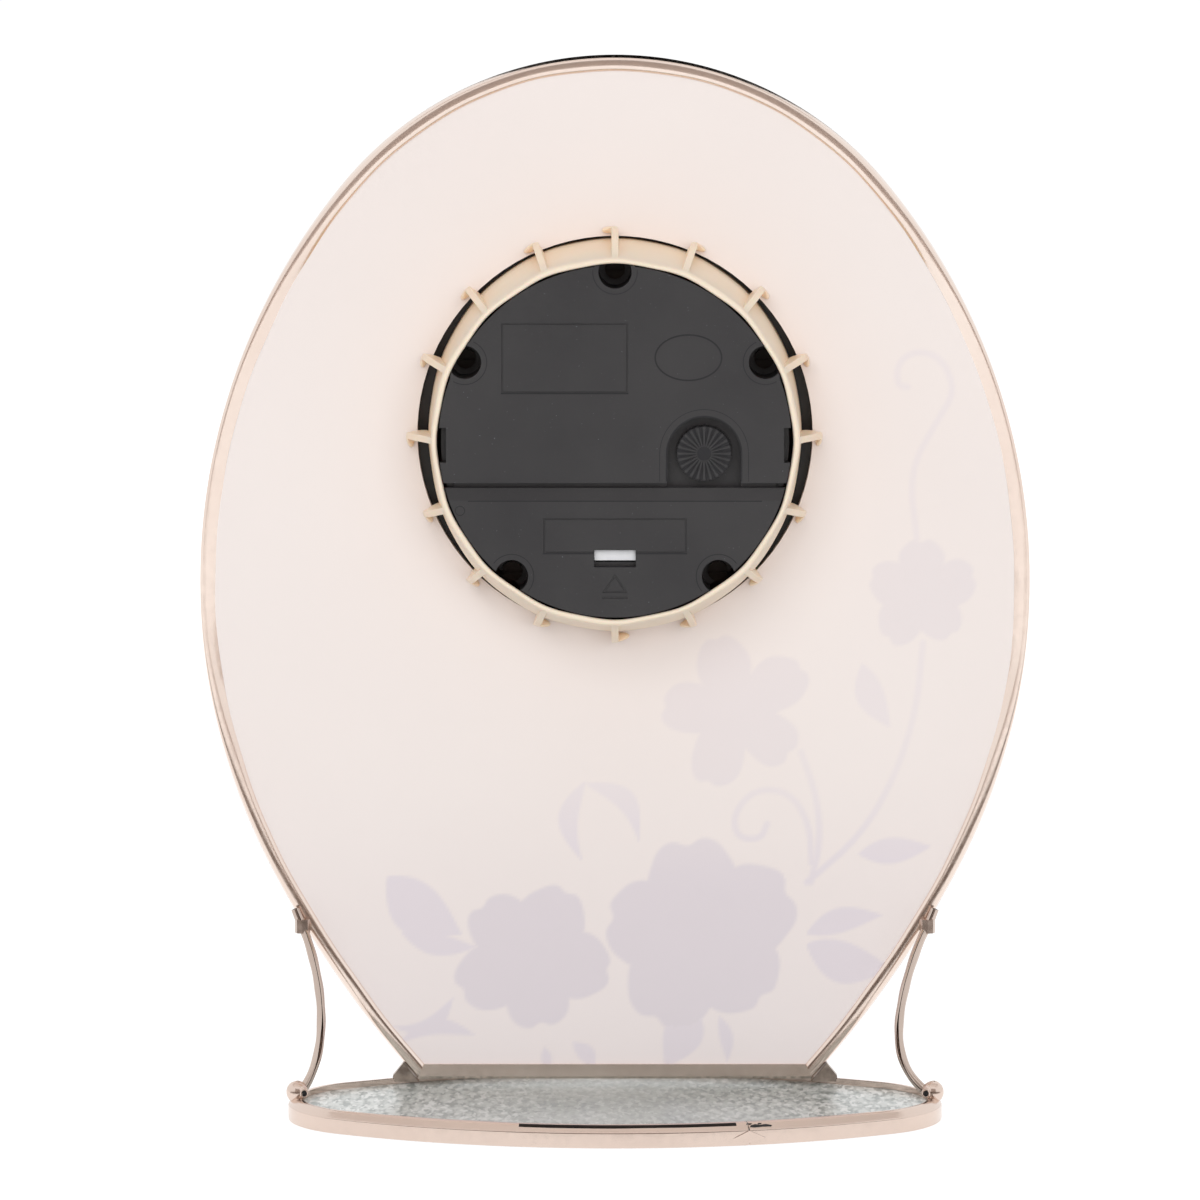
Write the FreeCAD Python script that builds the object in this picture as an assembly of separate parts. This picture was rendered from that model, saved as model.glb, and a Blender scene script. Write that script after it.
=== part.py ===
"""Pendulette clock: a printed glass panel on an oval glass foot, with a round quartz insert."""
import math
import os

import FreeCAD
import Part

# Overall size, every other size hangs from these
panel_height = 195.6
hole_radius = 37.5
base_half_length = 61.75
base_half_depth = 31.0
base_end_radius = 19.0
panel_front_inset = 11.0

# Shape of the panel as shares of its height
half_width_share = 0.4039
widest_height_share = 0.4867
waist_height_share = 0.2147
lower_radius_share = 0.6069
foot_radius_share = 0.9974
upper_radius_share = 0.6089
hole_height_share = 0.634

# Panel glass and its frame strip
glass_thickness = 3.0
strip_half_thickness = 2.2
strip_width = 3.0
strip_bevel = 0.5
strip_web = 1.0
glass_edge_gap = 0.1
mitre_gap = 0.3

# Foot glass and its rim strip
rim_height = 4.2
rim_wall_height = 2.85
rim_width = 2.6
rim_flat_width = 0.8
rim_web = 1.0
rim_sole = 0.6
foot_glass_top = 3.0
rim_joint_side = 24.7
rim_joint_gap = 0.3

# Supports between foot and panel
support_radius = 0.85
support_seat_gap = 0.03
support_foot_inset = 1.9
support_bow = 2.8
support_rise = 29.5
support_end_out = 0.1
support_tail_out = 1.4
support_tail_rise = 3.6
foot_bead_radius = 1.6
foot_bead_top_radius = 1.05
foot_bead_height = 2.0
collar_radius = 1.45
collar_length = 2.6
collar_drop = 1.0
tab_reach = 4.6
tab_lean = 2.6
tab_rise = 2.9
tab_depth = 2.4
tab_seat = 0.7
tab_lip = 0.4
blob_length = 6.0
blob_height = 0.5

# Gripping ring
band_wall = 0.9
band_back_radius = 34.2
band_front_radius = 36.2
band_back_level = 20.0
fin_count = 16
fin_thickness = 1.5
fin_reach = 1.5
fin_back_level = 18.6
fin_root_depth = 0.6
fin_shoulder = 2.2
fin_edge_gap = 0.2

# Case cup and what sits on its front
case_radius = 32.6
case_wall = 1.2
case_floor = 1.4
case_top_level = 17.4
flange_radius = 41.0
cover_thickness = 2.0
cover_radius = 33.0
dial_radius = 36.0
dial_thickness = 0.4
spacer_inner_radius = 34.6
spacer_height = 2.2
lens_thickness = 1.6
bezel_radius = 42.5
bezel_lip_radius = 34.2
bezel_crown_radius = 39.6
bezel_lip_drop = 1.0
bezel_height = 6.2
bar_length = 4.2
bar_width = 1.1
bar_height = 0.2
bar_inset = 3.2
hour_count = 12

# Back cover
screw_circle_inset = 1.2
screw_well_radius = 3.1
screw_well_wall = 0.8
screw_well_floor = 1.2
screw_well_base_level = 7.2
screw_turns = (0.0, 62.0, 142.5, -142.5, -62.0)
screw_head_radius = 1.9
screw_head_height = 1.1
screw_shank_radius = 0.8
screw_length = 6.0
screw_slot_width = 0.5
screw_slot_depth = 0.5
boss_outer_limit = 33.2
skirt_depth = 2.0
skirt_wall = 0.9
ledge_overlap = 1.5
door_edge = 7.7
door_gap = 0.9
door_seat_gap = 0.05
door_bevel_run = 2.4
door_bevel_drop = 0.7
engraving_depth = 0.15
engraving_line = 0.3
name_plate_centre = (-9.4, 15.7)
name_plate_size = (23.6, 13.1)
door_plate_drop = 17.6
door_plate_size = (26.8, 6.6)
window_drop = 21.9
window_size = (7.8, 3.2)
arrow_drop = 28.3
arrow_height = 3.5
arrow_half_width = 2.35
arrow_line_drop = 29.4
side_notch_height = 6.5
side_notch_depth = 1.4
side_notch_drop = 0.6
knob_centre = (16.65, -2.2)
knob_radius = 5.2
knob_height = 2.6
knob_rib_count = 24
knob_rib_depth = 0.5
arch_radius = 6.9
arch_wall = 0.9
arch_floor_level = 16.0
arch_floor_thickness = 1.2

# Wheel train: teeth and positions, axes given from the dial centre
pinion_teeth = 6
second_teeth = 30
third_teeth = 45
centre_teeth = 48
intermediate_teeth = 36
cannon_teeth = 8
motion_teeth = 24
motion_pinion_teeth = 8
hour_teeth = 32
third_distance = 8.5
third_turn = 150.0
intermediate_distance = 7.2
intermediate_turn = 80.0
rotor_distance = 7.0
rotor_turn = 60.0
tooth_addendum_share = 0.75
tooth_dedendum_share = 1.1
tooth_root_share = 0.165
tooth_tip_share = 0.095

# Wheel train: levels measured back from the panel
hour_wheel_levels = (-2.7, -1.7)
motion_pinion_levels = (-2.7, -1.2)
motion_wheel_levels = (-1.2, -0.4)
cannon_levels = (-1.2, 0.3)
centre_wheel_levels = (1.0, 1.8)
third_pinion_levels = (0.8, 2.0)
middle_plate_levels = (2.6, 3.6)
third_wheel_levels = (4.5, 5.3)
second_pinion_levels = (4.2, 5.6)
second_wheel_levels = (6.5, 7.3)
intermediate_pinion_levels = (6.2, 7.6)
intermediate_wheel_levels = (8.5, 9.3)
rotor_pinion_levels = (8.2, 9.6)
rotor_magnet_levels = (4.6, 7.2)
bridge_levels = (10.5, 11.5)
arbor_radius = 0.45
hub_radius = 0.6
pivot_radius = 0.3
running_gap = 0.05
minute_tube_radius = 1.0
hour_tube_radius = 1.6
bush_gap = 0.08
dial_hole_gap = 0.4
centre_hub_radius = 1.6
stud_radius = 0.5
motion_hub_radius = 1.1
pivot_boss_radius = 1.2
third_boss_top = 0.3
knob_shaft_radius = 1.25
rotor_magnet_radius = 2.6

# Hands, levels in front of the panel
hour_hand_levels = (-5.55, -5.3)
minute_hand_levels = (-6.05, -5.8)
second_hand_levels = (-6.55, -6.3)
second_cap_level = -6.7
hour_hand_length = 19.0
minute_hand_length = 28.0
second_hand_length = 29.5
hour_hand_half_width = 1.5
minute_hand_half_width = 1.2
second_hand_half_width = 0.3
hand_tail = 5.0
second_hand_tail = 9.0
hand_eye_radius = 2.6
second_eye_radius = 1.4
hour_hand_turn = -55.0
minute_hand_turn = 60.0
second_hand_turn = 150.0

# Plates and pillars of the movement
pillar_places = ((-13.0, -6.0), (13.5, 8.0), (-13.2, 13.4))
pillar_radius = 1.8
pillar_neck_radius = 1.2
plate_corners = (
    (-15.2, -8.4), (-9.0, -8.4), (3.0, -4.6), (16.2, 5.6), (16.2, 10.4), (9.6, 17.0), (-14.6, 17.0), (-15.2, 12.0)
)

# Motor and electronics
stator_levels = (5.4, 6.4)
stator_hole_radius = 3.2
stator_ring_radius = 5.2
coil_side = 22.0
stator_arm_width = 3.4
stator_reach = (-9.5, 11.5)
core_thickness = 1.0
core_half_width = 1.3
coil_half_length = 6.8
coil_centre_across = 1.0
coil_tube_wall = 0.5
coil_outer_radius = 2.9
coil_flange_half = 3.2
coil_flange_thickness = 0.8
stator_post_radius = 1.0
board_span = (-25.0, -15.6)
board_rise = (-9.0, 10.0)
board_levels = (3.0, 4.0)
board_post_radius = 1.4
board_post_places = ((-19.5, -6.5), (-19.5, 7.5))
chip_radius = 2.4
chip_height = 1.2
chip_place = (-20.0, 1.0)
crystal_radius = 1.0
crystal_length = 6.0
crystal_place = (-22.5, 6.5)

# Cell and its contacts
cell_radius = 5.15
cell_body_half = 21.75
cell_nub_radius = 1.9
cell_nub_length = 1.0
cell_drop = 17.2
cell_level = 12.0
cell_clearance = 0.3
trough_wall = 1.0
trough_floor_level = 6.2
trough_top_drop = 11.7
trough_end_left = 24.6
trough_end_right = 23.4
contact_thickness = 0.4
contact_half_width = 2.8
contact_half_height = 4.0
negative_plate_lift = 1.2
contact_gap = 0.1
strip_levels = (7.0, 10.0)
board_tab_depth = 3.0
tongue_half_width = 1.8
tongue_gap = 0.1

overrun = 1.0
small_round_limit = 2.1
small_round_sides = 12
bead_sides = 8
band_sides = 32
half_share = 0.5
full_turn = 360.0
half_turn = 180.0
quarter_turn = 90.0

panel_half_width = panel_height * half_width_share
panel_widest_height = panel_height * widest_height_share
panel_waist_height = panel_height * waist_height_share
lower_side_radius = panel_height * lower_radius_share
foot_side_radius = panel_height * foot_radius_share
upper_side_radius = panel_height * upper_radius_share
hole_height = panel_height * hole_height_share
screw_circle_radius = cover_radius - screw_circle_inset
panel_stand_forward = base_half_depth - panel_front_inset
panel_back_offset = -panel_stand_forward + glass_thickness / 2
hole_world_height = rim_height + hole_height
case_front_level = -glass_thickness - case_floor
dial_front_level = case_front_level - dial_thickness
lens_back_level = dial_front_level - spacer_height
lens_front_level = lens_back_level - lens_thickness
case_inner_radius = case_radius - case_wall
cover_back_level = case_top_level + cover_thickness
panel_bottom = -hole_height
motion_centre = (knob_centre[0] / 2, knob_centre[1] / 2)
motion_distance = math.hypot(motion_centre[0], motion_centre[1])
cannon_module = 2 * motion_distance / (cannon_teeth + motion_teeth)
hour_module = 2 * motion_distance / (motion_pinion_teeth + hour_teeth)
second_module = 2 * third_distance / (pinion_teeth + third_teeth)
centre_module = 2 * third_distance / (pinion_teeth + centre_teeth)
intermediate_module = 2 * intermediate_distance / (pinion_teeth + second_teeth)
rotor_module = 2 * rotor_distance / (pinion_teeth + intermediate_teeth)


def polar(distance, turn, centre=(0.0, 0.0)):
    """Point at a distance and a turn in degrees from a centre."""
    angle = math.radians(turn)
    return centre[0] + distance * math.cos(angle), centre[1] + distance * math.sin(angle)


third_centre = polar(third_distance, third_turn)
intermediate_centre = polar(intermediate_distance, intermediate_turn)
rotor_centre = polar(rotor_distance, rotor_turn, intermediate_centre)


# Basic solids


def disc(radius, levels, centre=(0.0, 0.0)):
    """Round plate between two levels; a pin or a small hole gets flat sides."""
    low, high = levels
    if radius < small_round_limit:
        pitch = full_turn / small_round_sides
        return prism([polar(radius, number * pitch, centre) for number in range(small_round_sides)], levels)
    return Part.makeCylinder(radius, high - low, FreeCAD.Vector(centre[0], centre[1], low))


def ring(inner, outer, levels, centre=(0.0, 0.0)):
    """Washer or tube between two levels."""
    low, high = levels
    return disc(outer, levels, centre).cut(disc(inner, (low - overrun, high + overrun), centre))


def slab(across, upward, levels):
    """Box from three pairs of limits."""
    corner = FreeCAD.Vector(across[0], upward[0], levels[0])
    return Part.makeBox(across[1] - across[0], upward[1] - upward[0], levels[1] - levels[0], corner)


def prism(corners, levels):
    """Flat polygon carried through its thickness."""
    low, high = levels
    points = [FreeCAD.Vector(x, y, low) for x, y in corners]
    face = Part.Face(Part.makePolygon(points + points[:1]))
    return face.extrude(FreeCAD.Vector(0, 0, high - low))


def many_sided(low_radius, high_radius, levels, sides):
    """Tapering block with flat sides, standing on the origin."""
    wires = []
    for radius, level in zip((low_radius, high_radius), levels):
        corners = [polar(radius, number * full_turn / sides) for number in range(sides)]
        points = [FreeCAD.Vector(x, y, level) for x, y in corners]
        wires.append(Part.makePolygon(points + points[:1]))
    return Part.makeLoft(wires, True, True)


def turned(section):
    """Section of radius and level pairs turned about the clock axis."""
    points = [FreeCAD.Vector(radius, 0, level) for radius, level in section]
    face = Part.Face(Part.makePolygon(points + points[:1]))
    return face.revolve(FreeCAD.Vector(0, 0, 0), FreeCAD.Vector(0, 0, 1), full_turn)


def rotated(shape, turn, centre=(0.0, 0.0)):
    """Copy turned about an axis along the depth of the clock."""
    copy = shape.copy()
    copy.rotate(FreeCAD.Vector(centre[0], centre[1], 0), FreeCAD.Vector(0, 0, 1), turn)
    return copy


def moved(shape, across, upward, back=0.0):
    """Copy shifted in the clock frame."""
    copy = shape.copy()
    copy.translate(FreeCAD.Vector(across, upward, back))
    return copy


def joined(pieces):
    """One solid from pieces that touch."""
    if len(pieces) == 1:
        return pieces[0]
    return pieces[0].fuse(pieces[1:]).removeSplitter()


def fused(pieces):
    """One solid from touching pieces, faces left as they are."""
    return pieces[0].fuse(pieces[1:])


def less(shape, tools):
    """Shape with every tool taken away."""
    return shape.cut(tools)


def to_world(shape):
    """Clock frame to world frame: right of the back view is world minus X."""
    matrix = FreeCAD.Matrix(
        -1, 0, 0, 0,
        0, 0, 1, panel_back_offset,
        0, 1, 0, hole_world_height,
        0, 0, 0, 1,
    )
    copy = shape.copy()
    copy.Placement = FreeCAD.Placement(matrix).multiply(copy.Placement)
    return copy


# Panel outline: eight arcs, as centre across, centre height, radius, first and last turn


def panel_arcs():
    """Outer arcs of the panel, from the right bottom corner up and over to the left one."""
    lower_across = panel_half_width - lower_side_radius
    upper_across = panel_half_width - upper_side_radius
    reach = upper_side_radius - panel_height
    top_centre = (upper_across ** 2 + panel_widest_height ** 2 - reach ** 2) / (2 * (reach + panel_widest_height))
    top_radius = panel_height - top_centre
    waist_turn = -math.degrees(math.asin((panel_widest_height - panel_waist_height) / lower_side_radius))
    foot_centre = polar(lower_side_radius - foot_side_radius, waist_turn, (lower_across, panel_widest_height))
    bottom_turn = -math.degrees(math.asin(foot_centre[1] / foot_side_radius))
    blend_turn = math.degrees(math.atan2(top_centre - panel_widest_height, -upper_across))
    right = [
        (foot_centre[0], foot_centre[1], foot_side_radius, bottom_turn, waist_turn),
        (lower_across, panel_widest_height, lower_side_radius, waist_turn, 0.0),
        (upper_across, panel_widest_height, upper_side_radius, 0.0, blend_turn),
        (0.0, top_centre, top_radius, blend_turn, quarter_turn),
    ]
    left = [(-x, y, radius, half_turn - last, half_turn - first) for x, y, radius, first, last in reversed(right)]
    return right + left


def panel_edge(height):
    """Half width of the panel at a height above its bottom edge, below its widest part."""
    for across, centre, radius, _, last in panel_arcs()[:2]:
        if height <= centre + radius * math.sin(math.radians(last)):
            return across + math.sqrt(radius ** 2 - (height - centre) ** 2)
    return panel_half_width


def bottom_half_width():
    """Half width of the panel at its straight bottom edge."""
    return panel_edge(0.0)


def arc_edge(centre, radius, first, last, level):
    """Arc in the plane of the panel or the foot."""
    points = [polar(radius, turn, centre) for turn in (first, (first + last) / 2, last)]
    start, middle, end = [FreeCAD.Vector(x, y, level) for x, y in points]
    return Part.Arc(start, middle, end).toShape()


def panel_plate(inset, levels):
    """Panel outline drawn in by an inset and carried through its thickness."""
    low, high = levels
    edges = []
    bottom = panel_bottom + inset
    for across, height, radius, first, last in panel_arcs():
        inner = radius - inset
        if not edges:
            first = -math.degrees(math.asin((height - inset) / inner))
        centre = (across, height + panel_bottom)
        edges.append((centre, inner, first, last))
    centre, inner, first, _ = edges[0]
    corner = polar(inner, first, centre)
    left_centre, left_inner, left_first, _ = edges[-1]
    edges[-1] = (left_centre, left_inner, left_first, half_turn - first)
    shapes = [arc_edge(centre, inner, first, last, low) for centre, inner, first, last in edges]
    left_corner = FreeCAD.Vector(-corner[0], bottom, low)
    right_corner = FreeCAD.Vector(corner[0], bottom, low)
    shapes.append(Part.makeLine(left_corner, right_corner))
    face = Part.Face(Part.Wire(Part.__sortEdges__(shapes)))
    return face.extrude(FreeCAD.Vector(0, 0, high - low))


def swept_strip(arcs, section):
    """Strip section carried round a chain of tangent arcs."""
    pieces = []
    for across, height, radius, first, last in arcs:
        points = [FreeCAD.Vector(across + radius + out, height, level) for out, level in section]
        face = Part.Face(Part.makePolygon(points + points[:1]))
        centre = FreeCAD.Vector(across, height, 0)
        axis = FreeCAD.Vector(0, 0, 1)
        face.rotate(centre, axis, first)
        pieces.append(face.revolve(centre, axis, last - first))
    return joined(pieces)


def panel_strip_section():
    """Half open channel that grips the panel edge, as outward and level pairs."""
    middle = -glass_thickness / 2
    low = middle - strip_half_thickness
    high = middle + strip_half_thickness
    return [
        (-strip_width, low), (-strip_bevel, low), (0.0, low + strip_bevel), (0.0, high - strip_bevel),
        (-strip_bevel, high), (-strip_width, high), (-strip_width, 0.0), (-strip_web, 0.0),
        (-strip_web, -glass_thickness), (-strip_width, -glass_thickness),
    ]


def mitre_block(gap):
    """Everything below the two mitred corners, moved up by a gap."""
    outer = bottom_half_width()
    across, height, radius, _, _ = panel_arcs()[0]
    inner = across + math.sqrt((radius - strip_width) ** 2 - (height - strip_width) ** 2)
    lean = (inner - outer) / strip_width
    low = -overrun
    high = strip_width + gap
    levels = (-glass_thickness - overrun * 2, overrun * 2)
    points = [
        (outer + lean * low + gap, low), (outer + lean * high + gap, high),
        (-outer - lean * high - gap, high), (-outer - lean * low - gap, low),
    ]
    return prism([(x, y + panel_bottom) for x, y in points], levels)


def panel_frame():
    """Strip round the sides and top of the panel."""
    arcs = [(x, y + panel_bottom, radius, first, last) for x, y, radius, first, last in panel_arcs()]
    return less(swept_strip(arcs, panel_strip_section()), [mitre_block(mitre_gap / 2)])


def panel_sill():
    """Straight strip under the panel, mitred to the frame."""
    reach = bottom_half_width() + overrun
    points = [FreeCAD.Vector(-reach, panel_bottom - out, level) for out, level in panel_strip_section()]
    bar = Part.Face(Part.makePolygon(points + points[:1])).extrude(FreeCAD.Vector(2 * reach, 0, 0))
    return bar.common(mitre_block(-mitre_gap / 2))


def panel_glass():
    """Printed glass with the round hole for the insert."""
    plate = panel_plate(strip_web + glass_edge_gap, (-glass_thickness, 0.0))
    return less(plate, [disc(hole_radius, (-glass_thickness - overrun, overrun))])


# Foot, built lying flat with its top up


def base_arcs():
    """Four arcs of the oval foot."""
    run = base_half_length - base_end_radius
    side_radius = (run ** 2 + base_half_depth ** 2 - base_end_radius ** 2) / (2 * (base_half_depth - base_end_radius))
    drop = side_radius - base_half_depth
    blend = math.degrees(math.atan2(drop, run))
    return [
        (run, 0.0, base_end_radius, -blend, blend),
        (0.0, -drop, side_radius, blend, half_turn - blend),
        (-run, 0.0, base_end_radius, half_turn - blend, half_turn + blend),
        (0.0, drop, side_radius, half_turn + blend, full_turn - blend),
    ]


def base_rim():
    """Channel strip round the foot glass, with one butt joint at the back."""
    section = [
        (-rim_width, 0.0), (0.0, 0.0), (0.0, rim_wall_height), (rim_flat_width - rim_width, rim_height),
        (-rim_width, rim_height), (-rim_width, foot_glass_top), (-rim_web, foot_glass_top),
        (-rim_web, rim_sole), (-rim_width, rim_sole),
    ]
    joint = (-rim_joint_side - rim_joint_gap, -rim_joint_side)
    slit = slab(joint, (0.0, base_half_depth + overrun), (-overrun, rim_height + overrun))
    return less(swept_strip(base_arcs(), section), [slit])


def base_glass():
    """Textured glass of the foot."""
    inset = rim_web + glass_edge_gap
    edges = []
    for across, height, radius, first, last in base_arcs():
        edges.append(arc_edge((across, height), radius - inset, first, last, rim_sole))
    face = Part.Face(Part.Wire(Part.__sortEdges__(edges)))
    return face.extrude(FreeCAD.Vector(0, 0, foot_glass_top - rim_sole))


def support_points(side):
    """Foot, middle, joint with the frame and upper end of one support, in the world frame."""
    foot = base_half_length - support_foot_inset
    back_face = panel_back_offset + strip_half_thickness - glass_thickness / 2
    back = back_face + support_radius + support_seat_gap
    joint = panel_edge(support_rise) + support_end_out
    middle = (foot + joint) / 2 - support_bow
    return [
        FreeCAD.Vector(side * foot, 0, rim_height),
        FreeCAD.Vector(side * middle, back / 2, rim_height + support_rise / 2),
        FreeCAD.Vector(side * joint, back, rim_height + support_rise),
        FreeCAD.Vector(side * (joint + support_tail_out), back, rim_height + support_rise + support_tail_rise),
    ]


def rod_face(place, along, across):
    """Eight sided section of a support, square to its run."""
    other = along.cross(across).normalize()
    points = []
    for number in range(bead_sides):
        x, y = polar(support_radius, (number + half_share) * full_turn / bead_sides)
        points.append(place + across * x + other * y)
    return Part.Face(Part.makePolygon(points + points[:1]))


def support(side, blockers):
    """Rolled strip bowing from the end of the foot up to the frame."""
    foot, middle, joint, end = support_points(side)
    arc = Part.Arc(foot, middle, joint).toShape()
    axis = arc.Curve.Axis
    start_way = arc.tangentAt(arc.FirstParameter)
    start = rod_face(foot, start_way, axis)
    sweep = math.degrees(arc.LastParameter - arc.FirstParameter)
    bow = start.revolve(arc.Curve.Center, axis, sweep)
    stub = start.extrude(start_way * (-2 * support_radius))
    run = end.sub(joint)
    tail = rod_face(joint, FreeCAD.Vector(run).normalize(), axis).extrude(run)
    rod = less(bow.fuse([stub, tail]), blockers)
    return max(rod.Solids, key=lambda solid: solid.Volume)


def bead(place, radius, top_radius, height):
    """Tapering lump of solder standing at a place."""
    lump = many_sided(radius, top_radius, (0.0, height), bead_sides)
    lump.translate(place)
    return lump


def foot_solder(side, blockers):
    """Bead that holds a support to the end of the foot."""
    place = support_points(side)[0]
    low = FreeCAD.Vector(place.x, place.y, rim_wall_height)
    height = rim_height - rim_wall_height + foot_bead_height
    lump = less(bead(low, foot_bead_radius, foot_bead_top_radius, height), blockers)
    return max(lump.Solids, key=lambda solid: solid.Volume)


def collar_solder(side, blockers):
    """Bead that holds the top of a support to the frame."""
    joint = support_points(side)[2]
    low = FreeCAD.Vector(joint.x, joint.y, joint.z - collar_drop)
    return less(bead(low, collar_radius, collar_radius, collar_length), blockers)


def panel_tab(side, blockers):
    """Solder wedge in the corner between the leaning frame and the rim."""
    outer = bottom_half_width()
    corners = [
        (outer - tab_lip, rim_height - tab_seat), (outer + tab_reach, rim_height - tab_seat),
        (outer + tab_reach, rim_height + tab_lip), (outer + tab_lean, rim_height + tab_rise),
    ]
    low = -panel_stand_forward - tab_depth / 2
    points = [FreeCAD.Vector(side * x, low, z) for x, z in corners]
    face = Part.Face(Part.makePolygon(points + points[:1]))
    return less(face.extrude(FreeCAD.Vector(0, tab_depth, 0)), blockers)


def rim_solder(rim):
    """Thin solder blob over the butt joint of the rim."""
    across = -rim_joint_side - rim_joint_gap / 2
    points = [
        (across - blob_length / 2, rim_wall_height / 2), (across, blob_height),
        (across + blob_length / 2, rim_wall_height / 2), (across, rim_wall_height),
    ]
    side_centre = base_arcs()[1][1]
    side_radius = base_arcs()[1][2] + blob_height / 2
    edge = side_centre + math.sqrt(side_radius ** 2 - across ** 2)
    front = edge - rim_width + blob_height
    face = Part.Face(Part.makePolygon([FreeCAD.Vector(x, front, z) for x, z in points + points[:1]]))
    limit = Part.makeCylinder(side_radius, rim_height, FreeCAD.Vector(0, side_centre, 0))
    glass_limit = Part.makeCylinder(side_radius - rim_web, rim_height, FreeCAD.Vector(0, side_centre, 0))
    return less(face.extrude(FreeCAD.Vector(0, rim_width, 0)).common(limit), [rim, glass_limit])


# Gripping ring


def band_shell(inset):
    """Tapering body of the ring, in flats as the moulded one."""
    levels = (-glass_thickness, band_back_level)
    return many_sided(band_front_radius - inset, band_back_radius - inset, levels, band_sides)


def mounting_band():
    """Soft ring between the case and the glass, with fins that spread behind the glass."""
    outer = band_shell(0.0)
    inner = band_shell(band_wall)
    pieces = [outer]
    root = band_back_radius - band_wall / 2
    tip = hole_radius + fin_reach
    neck = hole_radius - fin_edge_gap
    profile = [
        (root, fin_back_level), (band_back_radius + fin_root_depth, fin_back_level), (tip, fin_shoulder),
        (tip, 0.0), (neck, 0.0), (neck, -glass_thickness), (root, -glass_thickness),
    ]
    points = [FreeCAD.Vector(radius, -fin_thickness / 2, level) for radius, level in profile]
    fin = Part.Face(Part.makePolygon(points + points[:1])).extrude(FreeCAD.Vector(0, fin_thickness, 0))
    for number in range(fin_count):
        pieces.append(rotated(fin, quarter_turn + number * full_turn / fin_count))
    return less(joined(pieces), [inner])


# Case, bezel, dial and hands


def well_places():
    """Centres of the five screw wells, counted from the top."""
    return [polar(screw_circle_radius, quarter_turn + turn) for turn in screw_turns]


def case_cup():
    """Black cup with its front flange, screw bosses and pillars."""
    pieces = [
        disc(flange_radius, (case_front_level, -glass_thickness)),
        ring(case_inner_radius, case_radius, (-glass_thickness, case_top_level)),
    ]
    levels = (-glass_thickness, screw_well_base_level)
    limit = disc(boss_outer_limit, levels)
    boss_radius = screw_well_radius + screw_well_wall
    for place in well_places():
        pieces.append(disc(boss_radius, levels, place).common(limit))
    for place in pillar_places:
        pieces.append(disc(pillar_radius, (-glass_thickness, middle_plate_levels[0]), place))
        pieces.append(disc(pillar_neck_radius, (middle_plate_levels[0], bridge_levels[1]), place))
    for place in board_post_places:
        pieces.append(disc(board_post_radius, (-glass_thickness, board_levels[0]), place))
    pieces.append(disc(stud_radius, (-glass_thickness, motion_wheel_levels[1] + cell_clearance), motion_centre))
    pieces.append(disc(pivot_boss_radius, (-glass_thickness, third_boss_top), third_centre))
    pieces.append(disc(pivot_boss_radius, (-glass_thickness, cannon_levels[0] - cell_clearance), knob_centre))
    bush = hour_tube_radius + bush_gap
    case_levels = (case_front_level - overrun, overrun)
    tools = [disc(bush, case_levels)]
    pivot_hole = pivot_radius + running_gap
    tools.append(disc(pivot_hole, (case_front_level + case_floor / 2, third_boss_top + overrun), third_centre))
    tools.append(disc(stud_radius + running_gap, (case_front_level + case_floor / 2, overrun), knob_centre))
    well_limit = disc(screw_shank_radius, (screw_well_base_level - screw_length, screw_well_base_level + overrun))
    for place in well_places():
        tools.append(moved(well_limit, place[0], place[1]))
        well_levels = (screw_well_base_level, case_top_level + overrun)
        tools.append(disc(boss_radius, well_levels, place))
    tools.append(cell_body(cell_clearance))
    return less(joined(pieces), tools)


def dial():
    """Printed disc on the front of the case."""
    return ring(hour_tube_radius + dial_hole_gap, dial_radius, (dial_front_level, case_front_level))


def hour_bars():
    """Twelve raised bars on the dial."""
    low = spacer_inner_radius - bar_inset - bar_length
    levels = (dial_front_level - bar_height, dial_front_level)
    bar = slab((low, low + bar_length), (-bar_width / 2, bar_width / 2), levels)
    bars = [rotated(bar, number * full_turn / hour_count) for number in range(hour_count)]
    return Part.Compound(bars)


def lens_spacer():
    """Ring that keeps the lens off the dial."""
    return ring(spacer_inner_radius, dial_radius, (lens_back_level, dial_front_level))


def lens():
    """Clear disc over the dial."""
    return disc(dial_radius, (lens_front_level, lens_back_level))


def bezel():
    """Bright ring that clamps the lens and wraps the case flange."""
    front = case_front_level - bezel_height
    section = [
        (dial_radius, case_front_level), (bezel_radius, case_front_level),
        (bezel_radius, case_front_level - bezel_height / 3), (bezel_crown_radius, front),
        (bezel_lip_radius, front + bezel_lip_drop), (bezel_lip_radius, lens_front_level),
        (dial_radius, lens_front_level),
    ]
    return turned(section)


def pointed_hand(length, half_width, levels, eye_radius, bore, turn):
    """Leaf shaped hand with a round eye and a short tail."""
    low, high = levels
    points = [
        (-half_width / 2, -hand_tail), (half_width / 2, -hand_tail), (half_width / 2, 0.0),
        (half_width, length / 2), (0.0, length), (-half_width, length / 2), (-half_width / 2, 0.0),
    ]
    blade = joined([prism(points, levels), disc(eye_radius, levels)])
    return less(rotated(blade, turn), [disc(bore, (low - overrun, high + overrun))])


def hour_hand():
    """Short hand, pressed on the hour tube."""
    return pointed_hand(
        hour_hand_length, hour_hand_half_width, hour_hand_levels, hand_eye_radius, hour_tube_radius, hour_hand_turn
    )


def minute_hand():
    """Long hand, pressed on the minute tube."""
    return pointed_hand(
        minute_hand_length, minute_hand_half_width, minute_hand_levels, hand_eye_radius, minute_tube_radius,
        minute_hand_turn
    )


def second_hand():
    """Thin hand with a round cap, pressed on the second arbor."""
    half = second_hand_half_width
    stem = slab((-half, half), (-second_hand_tail, second_hand_length), second_hand_levels)
    cap = disc(second_eye_radius, (second_cap_level, second_hand_levels[1]))
    bore = disc(arbor_radius, (second_hand_levels[0], second_hand_levels[1] + overrun))
    return less(rotated(joined([stem, cap]), second_hand_turn), [bore])


# Wheel train


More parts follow.
